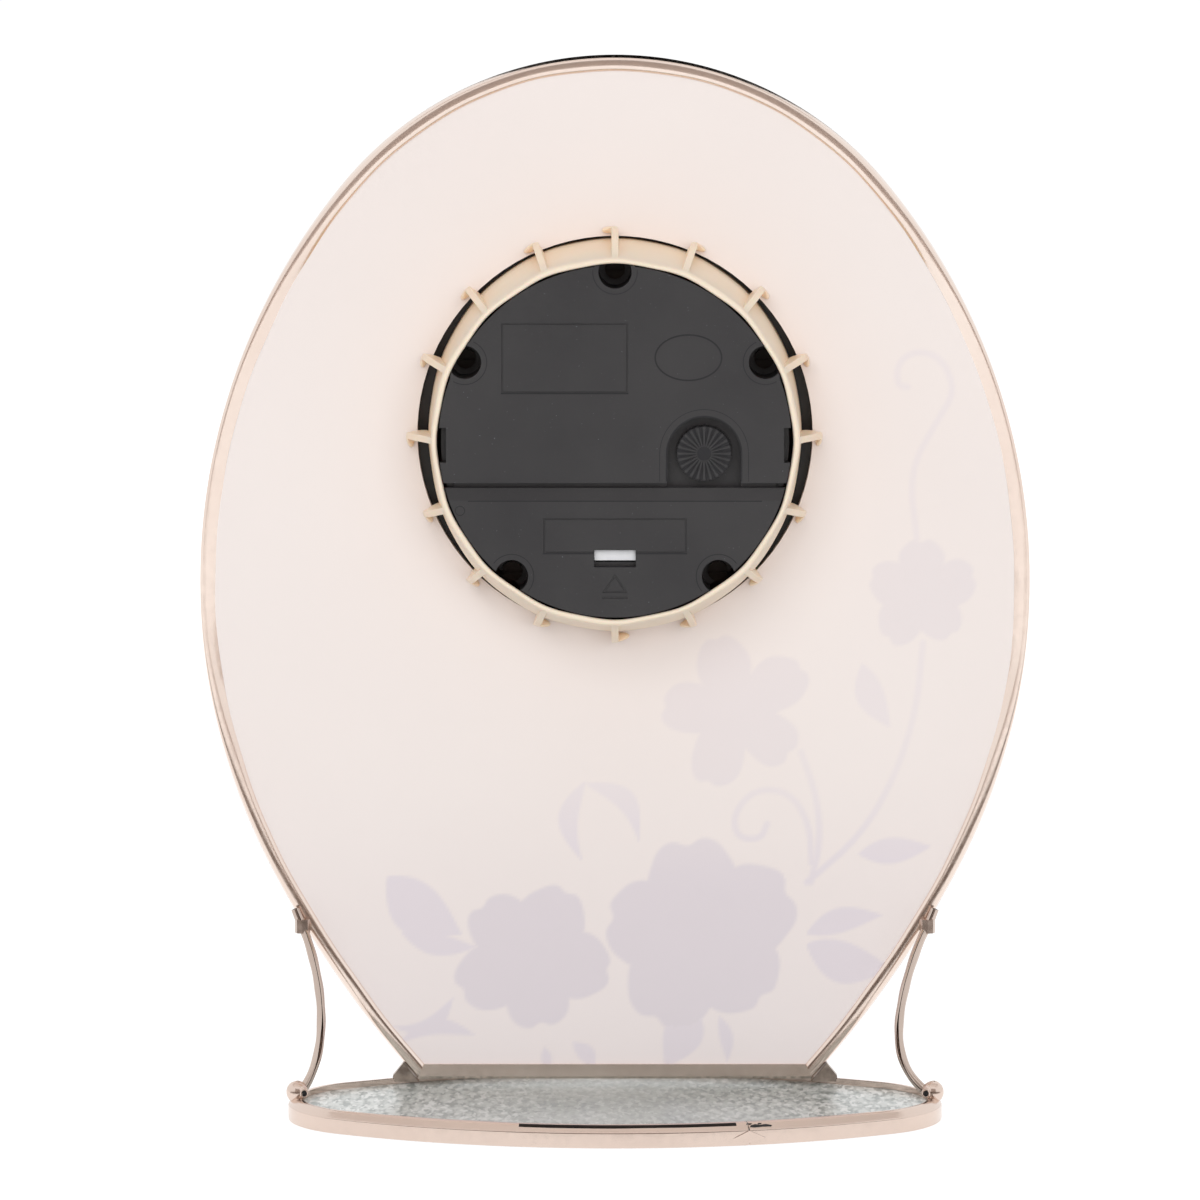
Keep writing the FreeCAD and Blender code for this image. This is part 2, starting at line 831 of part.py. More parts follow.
def toothed(teeth, module, levels, centre, turn, bore):
    """Wheel or pinion with straight sided teeth, one tooth centred on the given turn."""
    pitch = full_turn / teeth
    outer = module * (teeth / 2 + tooth_addendum_share)
    inner = module * (teeth / 2 - tooth_dedendum_share)
    outline = []
    for number in range(teeth):
        angle = turn + number * pitch
        outline.append(polar(inner, angle - tooth_root_share * pitch, centre))
        outline.append(polar(outer, angle - tooth_tip_share * pitch, centre))
        outline.append(polar(outer, angle + tooth_tip_share * pitch, centre))
        outline.append(polar(inner, angle + tooth_root_share * pitch, centre))
    wheel = prism(outline, levels)
    if bore:
        wheel = less(wheel, [disc(bore, (levels[0] - overrun, levels[1] + overrun), centre)])
    return wheel


def mesh_turn(own_teeth, partner_turn, partner_teeth, line_turn):
    """Turn that puts a gap of this wheel on a tooth of its partner; the line runs from partner to wheel."""
    partner_pitch = full_turn / partner_teeth
    own_pitch = full_turn / own_teeth
    offset = (line_turn - partner_turn) / partner_pitch
    share = offset - math.floor(offset)
    return line_turn + half_turn + own_pitch / 2 + share * own_pitch


def hour_wheel():
    """Wheel and tube that carry the hour hand."""
    turn = mesh_turn(hour_teeth, motion_turn(), motion_pinion_teeth, motion_line() + half_turn)
    bore = minute_tube_radius + running_gap
    wheel = toothed(hour_teeth, hour_module, hour_wheel_levels, (0.0, 0.0), turn, bore)
    tube = ring(bore, hour_tube_radius, (hour_hand_levels[0], hour_wheel_levels[1]))
    return joined([wheel, tube])


def motion_line():
    """Direction from the dial centre to the motion wheel."""
    return math.degrees(math.atan2(motion_centre[1], motion_centre[0]))


def motion_turn():
    """Turn of the motion wheel that meshes with the minute pinion."""
    return mesh_turn(motion_teeth, 0.0, cannon_teeth, motion_line())


def motion_wheel():
    """Wheel with its pinion on the stud of the case."""
    bore = stud_radius + running_gap
    wheel = toothed(motion_teeth, cannon_module, motion_wheel_levels, motion_centre, motion_turn(), bore)
    pinion = toothed(
        motion_pinion_teeth, hour_module, motion_pinion_levels, motion_centre, motion_turn(), bore
    )
    return joined([wheel, pinion])


def minute_pinion():
    """Pinion and tube that carry the minute hand."""
    bore = arbor_radius + running_gap
    pinion = toothed(cannon_teeth, cannon_module, cannon_levels, (0.0, 0.0), 0.0, bore)
    tube = ring(bore, minute_tube_radius, (minute_hand_levels[0], cannon_levels[1]))
    return joined([pinion, tube])


def setting_knob():
    """Ribbed knob, shaft and pinion that turn the motion wheel."""
    turn = mesh_turn(cannon_teeth, motion_turn(), motion_teeth, motion_line())
    levels = (motion_wheel_levels[0], motion_wheel_levels[1] + cell_clearance)
    pinion = toothed(cannon_teeth, cannon_module, levels, knob_centre, turn, 0.0)
    top = arch_floor_level + cell_clearance + knob_height
    shaft = disc(knob_shaft_radius, (levels[0], top), knob_centre)
    pivot = disc(stud_radius, (case_front_level + case_floor, levels[1]), knob_centre)
    ribs = []
    pitch = full_turn / knob_rib_count
    for number in range(knob_rib_count):
        ribs.append(polar(knob_radius, number * pitch, knob_centre))
        ribs.append(polar(knob_radius - knob_rib_depth, (number + half_share) * pitch, knob_centre))
    head = prism(ribs, (top - knob_height, top))
    return joined([head, shaft, pinion, pivot])


def centre_wheel():
    """Wheel that drives the minute pinion through its friction seat."""
    turn = mesh_turn(centre_teeth, third_lower_turn(), pinion_teeth, third_turn + half_turn)
    bore = arbor_radius + running_gap
    wheel = toothed(centre_teeth, centre_module, centre_wheel_levels, (0.0, 0.0), turn, bore)
    hub = ring(bore, centre_hub_radius, (cannon_levels[1] + running_gap, middle_plate_levels[0] - running_gap))
    return joined([wheel, hub])


def third_upper_turn():
    """Turn of the third wheel that meshes with the second pinion."""
    return mesh_turn(third_teeth, 0.0, pinion_teeth, third_turn)


def third_lower_turn():
    """Turn of the third pinion, moulded in line with its wheel."""
    return third_upper_turn()


def third_wheel():
    """Wheel and pinion turning between the case and the bridge."""
    wheel = toothed(third_teeth, second_module, third_wheel_levels, third_centre, third_upper_turn(), 0.0)
    pinion = toothed(pinion_teeth, centre_module, third_pinion_levels, third_centre, third_lower_turn(), 0.0)
    stem = disc(hub_radius, (third_pinion_levels[0], bridge_levels[0] - running_gap), third_centre)
    low = third_pinion_levels[0] - overrun
    pivots = disc(pivot_radius, (low, bridge_levels[1]), third_centre)
    return joined([wheel, pinion, stem, pivots])


def second_wheel():
    """Wheel and pinion pressed on the second arbor."""
    turn = mesh_turn(second_teeth, intermediate_pinion_turn(), pinion_teeth, intermediate_turn + half_turn)
    wheel = toothed(second_teeth, intermediate_module, second_wheel_levels, (0.0, 0.0), turn, arbor_radius)
    pinion = toothed(pinion_teeth, second_module, second_pinion_levels, (0.0, 0.0), 0.0, arbor_radius)
    hub = ring(arbor_radius, hub_radius, (second_pinion_levels[0], second_wheel_levels[1]))
    return joined([wheel, pinion, hub])


def second_arbor():
    """Steel pin from the bridge through the minute tube to the second hand."""
    upper = disc(pivot_radius, (bridge_levels[0] - running_gap, bridge_levels[1]))
    return joined([disc(arbor_radius, (second_hand_levels[0], bridge_levels[0] - running_gap)), upper])


def intermediate_pinion_turn():
    """Turn chosen for the intermediate piece."""
    return 0.0


def intermediate_wheel():
    """Wheel and pinion between the rotor and the second wheel."""
    turn = intermediate_pinion_turn()
    wheel = toothed(
        intermediate_teeth, rotor_module, intermediate_wheel_levels, intermediate_centre, turn, 0.0
    )
    pinion = toothed(
        pinion_teeth, intermediate_module, intermediate_pinion_levels, intermediate_centre, turn, 0.0
    )
    levels = (middle_plate_levels[1] + running_gap, bridge_levels[0] - running_gap)
    stem = disc(hub_radius, levels, intermediate_centre)
    pivots = disc(pivot_radius, (middle_plate_levels[0], bridge_levels[1]), intermediate_centre)
    return joined([wheel, pinion, stem, pivots])


def rotor_pinion():
    """Pinion and stem of the stepping rotor."""
    turn = mesh_turn(pinion_teeth, intermediate_pinion_turn(), intermediate_teeth, rotor_turn)
    pinion = toothed(pinion_teeth, rotor_module, rotor_pinion_levels, rotor_centre, turn, 0.0)
    levels = (middle_plate_levels[1] + running_gap, bridge_levels[0] - running_gap)
    stem = disc(hub_radius, levels, rotor_centre)
    pivots = disc(pivot_radius, (middle_plate_levels[0], bridge_levels[1]), rotor_centre)
    return joined([pinion, stem, pivots])


def rotor_magnet():
    """Round magnet on the rotor stem."""
    return ring(hub_radius, rotor_magnet_radius, rotor_magnet_levels, rotor_centre)


def movement_plate(levels, pillar_hole, bores):
    """Plate over the pillars with a hole for each pivot or stem."""
    low, high = levels
    cut_levels = (low - overrun, high + overrun)
    tools = [disc(pillar_hole, cut_levels, place) for place in pillar_places]
    for centre, radius in bores:
        tools.append(disc(radius, cut_levels, centre))
    return less(prism(plate_corners, levels), tools)


def middle_plate():
    """Plate under the fast wheels, with posts for the stator."""
    pivot_hole = pivot_radius + running_gap
    bores = [
        ((0.0, 0.0), arbor_radius + running_gap), (third_centre, hub_radius + running_gap),
        (intermediate_centre, pivot_hole), (rotor_centre, pivot_hole),
    ]
    plate = movement_plate(middle_plate_levels, pillar_neck_radius, bores)
    return joined([plate] + [disc(stator_post_radius, (middle_plate_levels[0], stator_levels[0]), place)
                             for place in stator_posts()])


def stator_posts():
    """Places where the stator rests on the middle plate."""
    reach = stator_ring_radius - stator_post_radius
    return [(rotor_centre[0] - reach, rotor_centre[1]), (rotor_centre[0] + reach, rotor_centre[1])]


def train_bridge():
    """Plate that holds the upper pivots."""
    pivot_hole = pivot_radius + running_gap
    bores = [(place, pivot_hole) for place in ((0.0, 0.0), third_centre, intermediate_centre, rotor_centre)]
    return movement_plate(bridge_levels, pillar_neck_radius, bores)


# Motor and electronics


def stator():
    """Pole plate round the rotor with two arms to the coil core."""
    low, high = stator_levels
    left, right = stator_reach
    half = stator_arm_width / 2
    row = rotor_centre[1]
    pieces = [
        disc(stator_ring_radius, stator_levels, rotor_centre),
        slab((left - half, right + half), (row - half, row + half), stator_levels),
        slab((left - half, left + half), (row - half, coil_side + half), stator_levels),
        slab((right - half, right + half), (row - half, coil_side + half), stator_levels),
    ]
    return less(joined(pieces), [disc(stator_hole_radius, (low - overrun, high + overrun), rotor_centre)])


def coil_levels():
    """Level of the middle of the core."""
    return stator_levels[1] + core_thickness / 2


def coil_core():
    """Flat bar through the coil, lying on the stator arms."""
    left, right = stator_reach
    levels = (stator_levels[1], stator_levels[1] + core_thickness)
    half = stator_arm_width / 2
    return slab((left - half, right + half), (coil_side - core_half_width, coil_side + core_half_width), levels)


def coil_drum(radius, start, end):
    """Cylinder lying along the coil."""
    place = FreeCAD.Vector(coil_centre_across + start, coil_side, coil_levels())
    return Part.makeCylinder(radius, end - start, place, FreeCAD.Vector(1, 0, 0))


def coil_bobbin():
    """Spool of the coil with a slot for the core."""
    half = coil_half_length
    inner = core_half_width + coil_tube_wall
    pieces = [
        coil_drum(inner, -half, half),
        coil_drum(coil_flange_half, -half, coil_flange_thickness - half),
        coil_drum(coil_flange_half, half - coil_flange_thickness, half),
    ]
    return less(joined(pieces), [coil_core()])


def coil_winding():
    """Copper winding on the spool."""
    reach = coil_half_length - coil_flange_thickness
    inner = core_half_width + coil_tube_wall
    return less(coil_drum(coil_outer_radius, -reach, reach), [coil_drum(inner, -reach, reach)])


def circuit_board():
    """Board on its two posts."""
    return slab(board_span, board_rise, board_levels)


def chip_dome():
    """Low round cover over the chip."""
    return disc(chip_radius, (board_levels[1], board_levels[1] + chip_height), chip_place)


def quartz_crystal():
    """Small round can lying on the board."""
    low = FreeCAD.Vector(crystal_place[0], crystal_place[1] - crystal_length / 2, board_levels[1] + crystal_radius)
    return Part.makeCylinder(crystal_radius, crystal_length, low, FreeCAD.Vector(0, 1, 0))


# Cell and contacts


def lying_cylinder(radius, start, end):
    """Cylinder along the axis of the cell."""
    place = FreeCAD.Vector(start, -cell_drop, cell_level)
    return Part.makeCylinder(radius, end - start, place, FreeCAD.Vector(1, 0, 0))


def cell_body(clearance):
    """Straight part of the cell grown by a clearance."""
    reach = cell_body_half + clearance
    return lying_cylinder(cell_radius + clearance, -reach, reach)


def cell():
    """Round cell with its raised end."""
    return joined([cell_body(0.0), lying_cylinder(cell_nub_radius, cell_body_half, cell_body_half + cell_nub_length)])


def positive_side():
    """Where the raised end of the cell stops."""
    return cell_body_half + cell_nub_length + contact_gap


def contact_rise():
    """Upper and lower limit of a contact plate."""
    return -cell_drop - contact_half_width, -cell_drop + contact_half_width


def positive_contact():
    """Plate at the raised end, led along the trough wall to the board."""
    near = positive_side()
    across = (near, near + contact_thickness)
    strip_edge = trough_wall - trough_top_drop
    plate = slab(across, (contact_rise()[0], strip_edge + contact_thickness), strip_levels)
    strip = slab((board_span[1], across[1]), (strip_edge, strip_edge + contact_thickness), strip_levels)
    tail = slab(
        (board_span[1] - board_tab_depth, board_span[1]), (strip_edge, strip_edge + contact_thickness),
        (board_levels[1], strip_levels[1])
    )
    foot = slab(
        (board_span[1] - board_tab_depth, board_span[1]), (strip_edge, board_rise[0] + board_tab_depth),
        (board_levels[1], board_levels[1] + contact_thickness)
    )
    return joined([plate, strip, tail, foot])


def negative_contact():
    """Plate behind the spring, led to the board."""
    across = (-trough_end_left, contact_thickness - trough_end_left)
    strip_edge = trough_wall - trough_top_drop
    levels = (cell_level - contact_half_height, cell_level + contact_half_height)
    rise = (contact_rise()[0] + negative_plate_lift, contact_rise()[1])
    plate = slab(across, rise, levels)
    arm = slab(across, (rise[1], board_rise[0] + board_tab_depth), strip_levels)
    tail = slab(
        across, (strip_edge + board_tab_depth, board_rise[0] + board_tab_depth), (board_levels[1], strip_levels[0])
    )
    near = across[1]
    far = -cell_body_half - tongue_gap
    low, high = levels
    fold = contact_thickness
    corners = [
        (near - fold, high), (near, high), (far, cell_level + fold), (far, cell_level - fold),
        (near + fold, low + fold), (near + fold, low + 3 * fold), (far - fold, cell_level), (near, high - 2 * fold),
        (near - fold, high - 2 * fold),
    ]
    points = [FreeCAD.Vector(x, -cell_drop - tongue_half_width, z) for x, z in corners]
    tongue = Part.Face(Part.makePolygon(points + points[:1])).extrude(FreeCAD.Vector(0, 2 * tongue_half_width, 0))
    return joined([plate, arm, tail, tongue])


# Back cover and battery door


def rectangle_line(centre, size):
    """Thin rectangular groove in the back face."""
    x, y = centre
    half_wide = size[0] / 2
    half_tall = size[1] / 2
    levels = (cover_back_level - engraving_depth, cover_back_level + overrun)
    outer = slab((x - half_wide, x + half_wide), (y - half_tall, y + half_tall), levels)
    thin_wide = half_wide - engraving_line
    thin_tall = half_tall - engraving_line
    inner = slab((x - thin_wide, x + thin_wide), (y - thin_tall, y + thin_tall), levels)
    return less(outer, [inner])


def arrow_lines():
    """Triangle and bar that mark where the door opens."""
    levels = (cover_back_level - engraving_depth, cover_back_level + overrun)
    base = -arrow_drop
    apex = base + arrow_height
    outer = prism([(-arrow_half_width, base), (arrow_half_width, base), (0.0, apex)], levels)
    side_inset = engraving_line * 2
    inner = prism(
        [(-arrow_half_width + side_inset, base + engraving_line), (arrow_half_width - side_inset, base + engraving_line),
         (0.0, apex - side_inset)], levels
    )
    bar = slab(
        (-arrow_half_width, arrow_half_width), (-arrow_line_drop, engraving_line - arrow_line_drop), levels
    )
    return [less(outer, [inner]), bar]


def arch_shape(radius, levels):
    """Round topped pocket outline, open towards the door."""
    x, y = knob_centre
    low = -door_edge - overrun
    return joined([disc(radius, levels, knob_centre), slab((x - radius, x + radius), (low, y), levels)])


def well_cups():
    """Deep cups of the cover that reach the screw bosses."""
    levels = (screw_well_base_level, cover_back_level)
    radius = screw_well_radius + screw_well_wall
    limit = disc(boss_outer_limit, levels)
    return [disc(radius, levels, place).common(limit) for place in well_places()]


def well_tools():
    """Openings of the wells and the screw holes through their floors."""
    tools = []
    for place in well_places():
        floor = screw_well_base_level + screw_well_floor
        tools.append(disc(screw_well_radius, (floor, cover_back_level + overrun), place))
        tools.append(disc(screw_shank_radius, (screw_well_base_level - overrun, floor + overrun), place))
    return tools


def side_notches():
    """Two slots in the rim of the cover."""
    levels = (case_top_level - overrun, cover_back_level + overrun)
    low = -side_notch_drop - side_notch_height / 2
    rise = (low, low + side_notch_height)
    near = cover_radius - side_notch_depth
    far = cover_radius + overrun
    return [slab((near, far), rise, levels), slab((-far, -near), rise, levels)]


def trough_box(grow, levels):
    """Cell room of the cover, grown by a wall."""
    floor = -cell_drop - cell_radius - cell_clearance
    across = (-trough_end_left - grow, trough_end_right + grow)
    return slab(across, (floor - grow, -trough_top_drop + grow), levels)


def back_cover():
    """Moulded cover with the cell trough, screw cups and the knob pocket."""
    plate_levels = (case_top_level, cover_back_level)
    reach = cover_radius + overrun
    upper_limit = slab((-reach, reach), (-door_edge, reach), plate_levels)
    plate = disc(cover_radius, plate_levels).common(upper_limit)
    skirt_outer = case_inner_radius - running_gap
    skirt = ring(skirt_outer - skirt_wall, skirt_outer, (case_top_level - skirt_depth, case_top_level))
    inside = disc(skirt_outer, (trough_floor_level - trough_wall, case_top_level))
    trough = trough_box(trough_wall, (trough_floor_level - trough_wall, case_top_level)).common(inside)
    ledge_low = case_top_level - skirt_depth
    ledge = slab((-reach, reach), (-trough_top_drop, ledge_overlap - door_edge), (ledge_low, case_top_level)).common(
        disc(skirt_outer, (ledge_low, case_top_level))
    )
    pocket_levels = (arch_floor_level - arch_floor_thickness, cover_back_level)
    room = slab((-reach, reach), (-door_edge, reach), pocket_levels)
    pocket = arch_shape(arch_radius + arch_wall, pocket_levels).common(room)
    hollow = less(fused([plate, skirt, trough, ledge, pocket]), [trough_box(0.0, (trough_floor_level, case_top_level))])
    body = fused([hollow] + well_cups())
    floor = -cell_drop - cell_radius - cell_clearance
    reach_out = cell_body_half + cell_clearance
    path = slab((-reach_out, reach_out), (floor, -trough_top_drop), (cell_level, cover_back_level))
    tools = [cell_body(cell_clearance), path]
    boss_levels = (trough_floor_level - trough_wall - overrun, screw_well_base_level)
    tools += [disc(screw_well_radius + screw_well_wall, boss_levels, place) for place in well_places()]
    tools.append(arch_shape(arch_radius, (arch_floor_level, cover_back_level + overrun)))
    shaft_levels = (pocket_levels[0] - overrun, arch_floor_level + overrun)
    tools.append(disc(knob_shaft_radius + running_gap, shaft_levels, knob_centre))
    near = positive_side() - contact_gap
    slot_levels = (strip_levels[0] - contact_gap, strip_levels[1] + contact_gap)
    slot_end = near + contact_thickness + contact_gap * 2
    tools.append(slab((near, slot_end), (-cell_drop, trough_wall - trough_top_drop + overrun), slot_levels))
    arm_side = contact_thickness + contact_gap - trough_end_left
    tools.append(slab((-trough_end_left - contact_gap, arm_side), (-cell_drop, overrun - trough_top_drop), slot_levels))
    tools += well_tools() + side_notches()
    tools.append(rectangle_line(name_plate_centre, name_plate_size))
    door_room = slab((-reach, reach), (-reach, -door_edge), (case_top_level, cover_back_level + overrun))
    return less(body, tools + [door_room])


def battery_door():
    """Lower part of the back with its window, cut round the two lower screw cups."""
    levels = (case_top_level + door_seat_gap, cover_back_level)
    top = -door_edge - door_gap
    reach = cover_radius + overrun
    body = disc(cover_radius, levels).common(slab((-reach, reach), (-reach, top), levels))
    bevel = [(top, cover_back_level - door_bevel_drop), (top, cover_back_level + overrun),
             (top - door_bevel_run, cover_back_level + overrun), (top - door_bevel_run, cover_back_level)]
    points = [FreeCAD.Vector(-reach, y, z) for y, z in bevel]
    wedge = Part.Face(Part.makePolygon(points + points[:1])).extrude(FreeCAD.Vector(2 * reach, 0, 0))
    high = cover_back_level + overrun
    cut_levels = (case_top_level - overrun, high)
    wide, tall = window_size
    tools = [wedge]
    tools.append(slab((-wide / 2, wide / 2), (-window_drop - tall / 2, tall / 2 - window_drop), cut_levels))
    tools.append(rectangle_line((0.0, -door_plate_drop), door_plate_size))
    tools += arrow_lines()
    for place in well_places():
        tools.append(disc(screw_well_radius, cut_levels, place))
    return less(body, tools)


def cover_screws():
    """Five slotted screws at the bottom of the wells."""
    floor = screw_well_base_level + screw_well_floor
    head = disc(screw_head_radius, (floor, floor + screw_head_height))
    shank = disc(screw_shank_radius, (floor - screw_length, floor + screw_head_height))
    reach = screw_head_radius + overrun
    half = screw_slot_width / 2
    top = floor + screw_head_height
    slot = slab((-reach, reach), (-half, half), (top - screw_slot_depth, top + overrun))
    screw = less(joined([head, shank]), [slot])
    return Part.Compound([moved(screw, place[0], place[1]) for place in well_places()])


def main():
    """Build every piece and write it to its own file."""
    os.makedirs("parts", exist_ok=True)
    frame = to_world(panel_frame())
    sill = to_world(panel_sill())
    rim = base_rim()
    foot = base_glass()
    left = support(1, [frame, rim, foot])
    right = support(-1, [frame, rim, foot])
    sides = ((1, left), (-1, right))
    nodes = {
        "panel_glass": to_world(panel_glass()),
        "panel_frame": frame,
        "panel_sill": sill,
        "base_rim": rim,
        "base_glass": foot,
        "left_support": left,
        "right_support": right,
        "foot_solder": Part.Compound([foot_solder(side, [rod, rim, foot]) for side, rod in sides]),
        "collar_solder": Part.Compound([collar_solder(side, [rod, frame]) for side, rod in sides]),
        "panel_tabs": Part.Compound([panel_tab(side, [frame, sill, rim, foot]) for side in (1, -1)]),
        "rim_solder": rim_solder(rim),
    }
    clock = {
        "mounting_band": mounting_band,
        "case_cup": case_cup,
        "dial": dial,
        "hour_bars": hour_bars,
        "lens_spacer": lens_spacer,
        "lens": lens,
        "bezel": bezel,
        "hour_hand": hour_hand,
        "minute_hand": minute_hand,
        "second_hand": second_hand,
        "hour_wheel": hour_wheel,
        "motion_wheel": motion_wheel,
        "minute_pinion": minute_pinion,
        "setting_knob": setting_knob,
        "centre_wheel": centre_wheel,
        "third_wheel": third_wheel,
        "second_wheel": second_wheel,
        "second_arbor": second_arbor,
        "intermediate_wheel": intermediate_wheel,
        "rotor_pinion": rotor_pinion,
        "rotor_magnet": rotor_magnet,
        "middle_plate": middle_plate,
        "train_bridge": train_bridge,
        "stator": stator,
        "coil_core": coil_core,
        "coil_bobbin": coil_bobbin,
        "coil_winding": coil_winding,
        "circuit_board": circuit_board,
        "chip_dome": chip_dome,
        "quartz_crystal": quartz_crystal,
        "cell": cell,
        "positive_contact": positive_contact,
        "negative_contact": negative_contact,
        "back_cover": back_cover,
        "battery_door": battery_door,
        "cover_screws": cover_screws,
    }
    for name, build in clock.items():
        nodes[name] = to_world(build())
    for name, shape in nodes.items():
        shape.exportStep(os.path.join("parts", name + ".step"))


main()
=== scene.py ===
"""Looks of the pendulette clock: printed glass panel, rolled metal strip, rippled glass foot and quartz insert."""
import math
import random

import bmesh
import bpy
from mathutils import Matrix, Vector


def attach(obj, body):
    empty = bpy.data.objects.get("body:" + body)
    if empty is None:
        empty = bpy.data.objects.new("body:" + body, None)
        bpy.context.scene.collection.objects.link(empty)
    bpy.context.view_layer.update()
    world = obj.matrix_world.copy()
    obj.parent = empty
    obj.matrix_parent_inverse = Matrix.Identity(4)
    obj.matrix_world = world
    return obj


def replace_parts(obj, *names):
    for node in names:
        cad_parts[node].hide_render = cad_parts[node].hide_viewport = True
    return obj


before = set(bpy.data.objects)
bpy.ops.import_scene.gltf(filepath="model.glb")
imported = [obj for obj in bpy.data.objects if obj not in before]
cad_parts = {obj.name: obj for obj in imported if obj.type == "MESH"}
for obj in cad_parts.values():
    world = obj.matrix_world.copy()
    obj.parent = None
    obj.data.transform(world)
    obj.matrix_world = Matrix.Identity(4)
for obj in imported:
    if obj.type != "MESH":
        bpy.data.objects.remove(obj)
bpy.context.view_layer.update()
dice = random.Random(11)

# Sizes in millimetres that follow the solids
mm = 0.001
panel_back = -18.5
glass_thickness = 3.0
panel_height = 195.6
panel_half_width = panel_height * 0.4039
widest_height = panel_height * 0.4867
waist_height = panel_height * 0.2147
lower_radius = panel_height * 0.6069
foot_side_radius = panel_height * 0.9974
upper_radius = panel_height * 0.6089
rim_height = 4.2
hole_height = rim_height + panel_height * 0.634
strip_width = 3.0
strip_swell = 0.7
hole_radius = 37.5
base_half_length = 61.75
base_half_depth = 31.0
base_end_radius = 19.0
support_inset = 1.9
support_bend = 2.8
support_rise = 29.5
support_clear = 0.03
support_end_rise = 3.6
support_end_lean = 1.4
tube_radius = 0.85
band_back_radius = 34.2
band_back_level = 20.0
band_wall = 0.9
fin_count = 16
cover_level = 19.4
screw_circle = 31.8
knob_centre = (16.65, -2.2)
dial_level = -4.8

# Sizes that only the looks have, in millimetres and degrees
print_step = 0.5
print_inset = 2.1
print_lift = 0.02
hole_margin = 2.0
stem_half_width = 0.6
edge_softness = 0.8
leaf_strength = 0.95
stem_strength = 0.8
fade_low, fade_high, fade_share = -88.0, -62.0, 0.55
strip_step = 1.6
rim_step = 1.2
joint_across = -24.85
joint_half_gap = 0.15
support_lean = 0.2
tube_wall = 0.28
bow_height = 10.0
bow_left = 1.7
bow_right = 4.2
seam_turn = 20.0
seam_half_turn = 4.0
seam_spread = 16.0
seam_height = 9.0
seam_length = 3.5
bead_inset = 1.7
bead_back = 0.2
bead_rise = 0.7
bead_reach = (2.05, 2.0, 2.2)
seam_shade_from, seam_shade_to = -23.5, 19.0
band_front_across = 35.5
band_front_upright = 37.2
band_gap = 1.4
flat_depth = 0.12
lip_spread = 0.28
lip_wave = 0.12
fin_half_width = 0.78
fin_reach_over = 2.1
mark_level = cover_level + 0.01
mark_edge_radius = 32.6
mark_door_top = -8.9
well_ring_radius = 4.15
knob_level = 18.92
knob_face_radius = 5.05
knob_foot = -7.4
numeral_size = 5.2
numeral_depth = 0.02
numeral_radius = 22.5

# Camera and lamps: places in metres, turns in degrees, the lens in millimetres
camera_place = (0.0, 1.2494, 0.2347)
camera_tilt = 83.776
camera_lens = 201.17
camera_shift = -0.0125
lamp_target = (0.0, 0.0, 0.14)


# Small helpers


def at(across, upward, back):
    """Clock frame in millimetres, seen from the back, to a point in metres."""
    return (-across * mm, (back + panel_back) * mm, (upward + hole_height) * mm)


def linear(code):
    """Hex colour as it looks on a screen, turned to linear values."""
    parts = [int(code[index:index + 2], 16) / 255 for index in (1, 3, 5)]
    values = [part / 12.92 if part <= 0.04045 else ((part + 0.055) / 1.055) ** 2.4 for part in parts]
    return (values[0], values[1], values[2], 1.0)


def smooth_step(low, high, value):
    """Soft change from 0 to 1 between two values."""
    share = min(max((value - low) / (high - low), 0.0), 1.0)
    return share * share * (3 - 2 * share)


def polar(radius, turn, centre=(0.0, 0.0)):
    """Point at a radius and a turn in degrees."""
    angle = math.radians(turn)
    return centre[0] + radius * math.cos(angle), centre[1] + radius * math.sin(angle)


def placed(name, data):
    """Object linked to the scene."""
    item = bpy.data.objects.new(name, data)
    bpy.context.collection.objects.link(item)
    return item


def new_piece(name, points, faces, body, material, smooth=True):
    """Mesh piece that rides on a body and takes its finish from a slot."""
    mesh = bpy.data.meshes.new(name)
    mesh.from_pydata(points, [], faces)
    mesh.validate()
    work = bmesh.new()
    work.from_mesh(mesh)
    bmesh.ops.recalc_face_normals(work, faces=work.faces)
    work.to_mesh(mesh)
    work.free()
    if smooth:
        mesh.shade_smooth()
    piece = placed(name, mesh)
    mesh.materials.append(material)
    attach(piece, body)
    return piece


def grid_faces(rows, columns, wrap_rows=False, wrap_columns=False, start=0):
    """Faces of a grid of points laid row by row."""
    faces = []
    for row in range(rows if wrap_rows else rows - 1):
        for column in range(columns if wrap_columns else columns - 1):
            after = (column + 1) % columns
            below = (row + 1) % rows
            faces.append((
                start + row * columns + column, start + row * columns + after,
                start + below * columns + after, start + below * columns + column,
            ))
    return faces


def closed_rod(rows, columns, start=0):
    """Faces of a rod whose rings of points are laid row by row, with both ends closed."""
    last = start + (rows - 1) * columns
    faces = grid_faces(rows, columns, False, True, start)
    faces.append(tuple(reversed(range(start, start + columns))))
    faces.append(tuple(range(last, last + columns)))
    return faces


def sharpen(piece, angle):
    """Flat look across real edges of a smooth piece."""
    for edge in piece.data.edges:
        edge.use_edge_sharp = False
    piece.data.set_sharp_from_angle(angle=math.radians(angle))


# Materials


def add(tree, kind, settings, links):
    """One node with its settings and its inputs, each a value or another node's output."""
    item = tree.nodes.new(kind)
    for name, value in settings.items():
        setattr(item, name, value)
    for name, value in links.items():
        if isinstance(value, bpy.types.NodeSocket):
            tree.links.new(value, item.inputs[name])
        else:
            item.inputs[name].default_value = value
    return item


def start_material(name):
    """Empty material with its tree and its place in the object's own frame."""
    material = bpy.data.materials.new(name)
    material.use_nodes = True
    tree = material.node_tree
    tree.nodes.clear()
    place = add(tree, "ShaderNodeTexCoord", {}, {}).outputs["Object"]
    return material, tree, place


def finish_material(material, shader):
    """Material with its shader led to the surface."""
    add(material.node_tree, "ShaderNodeOutputMaterial", {}, {"Surface": shader.outputs[0]})
    return material


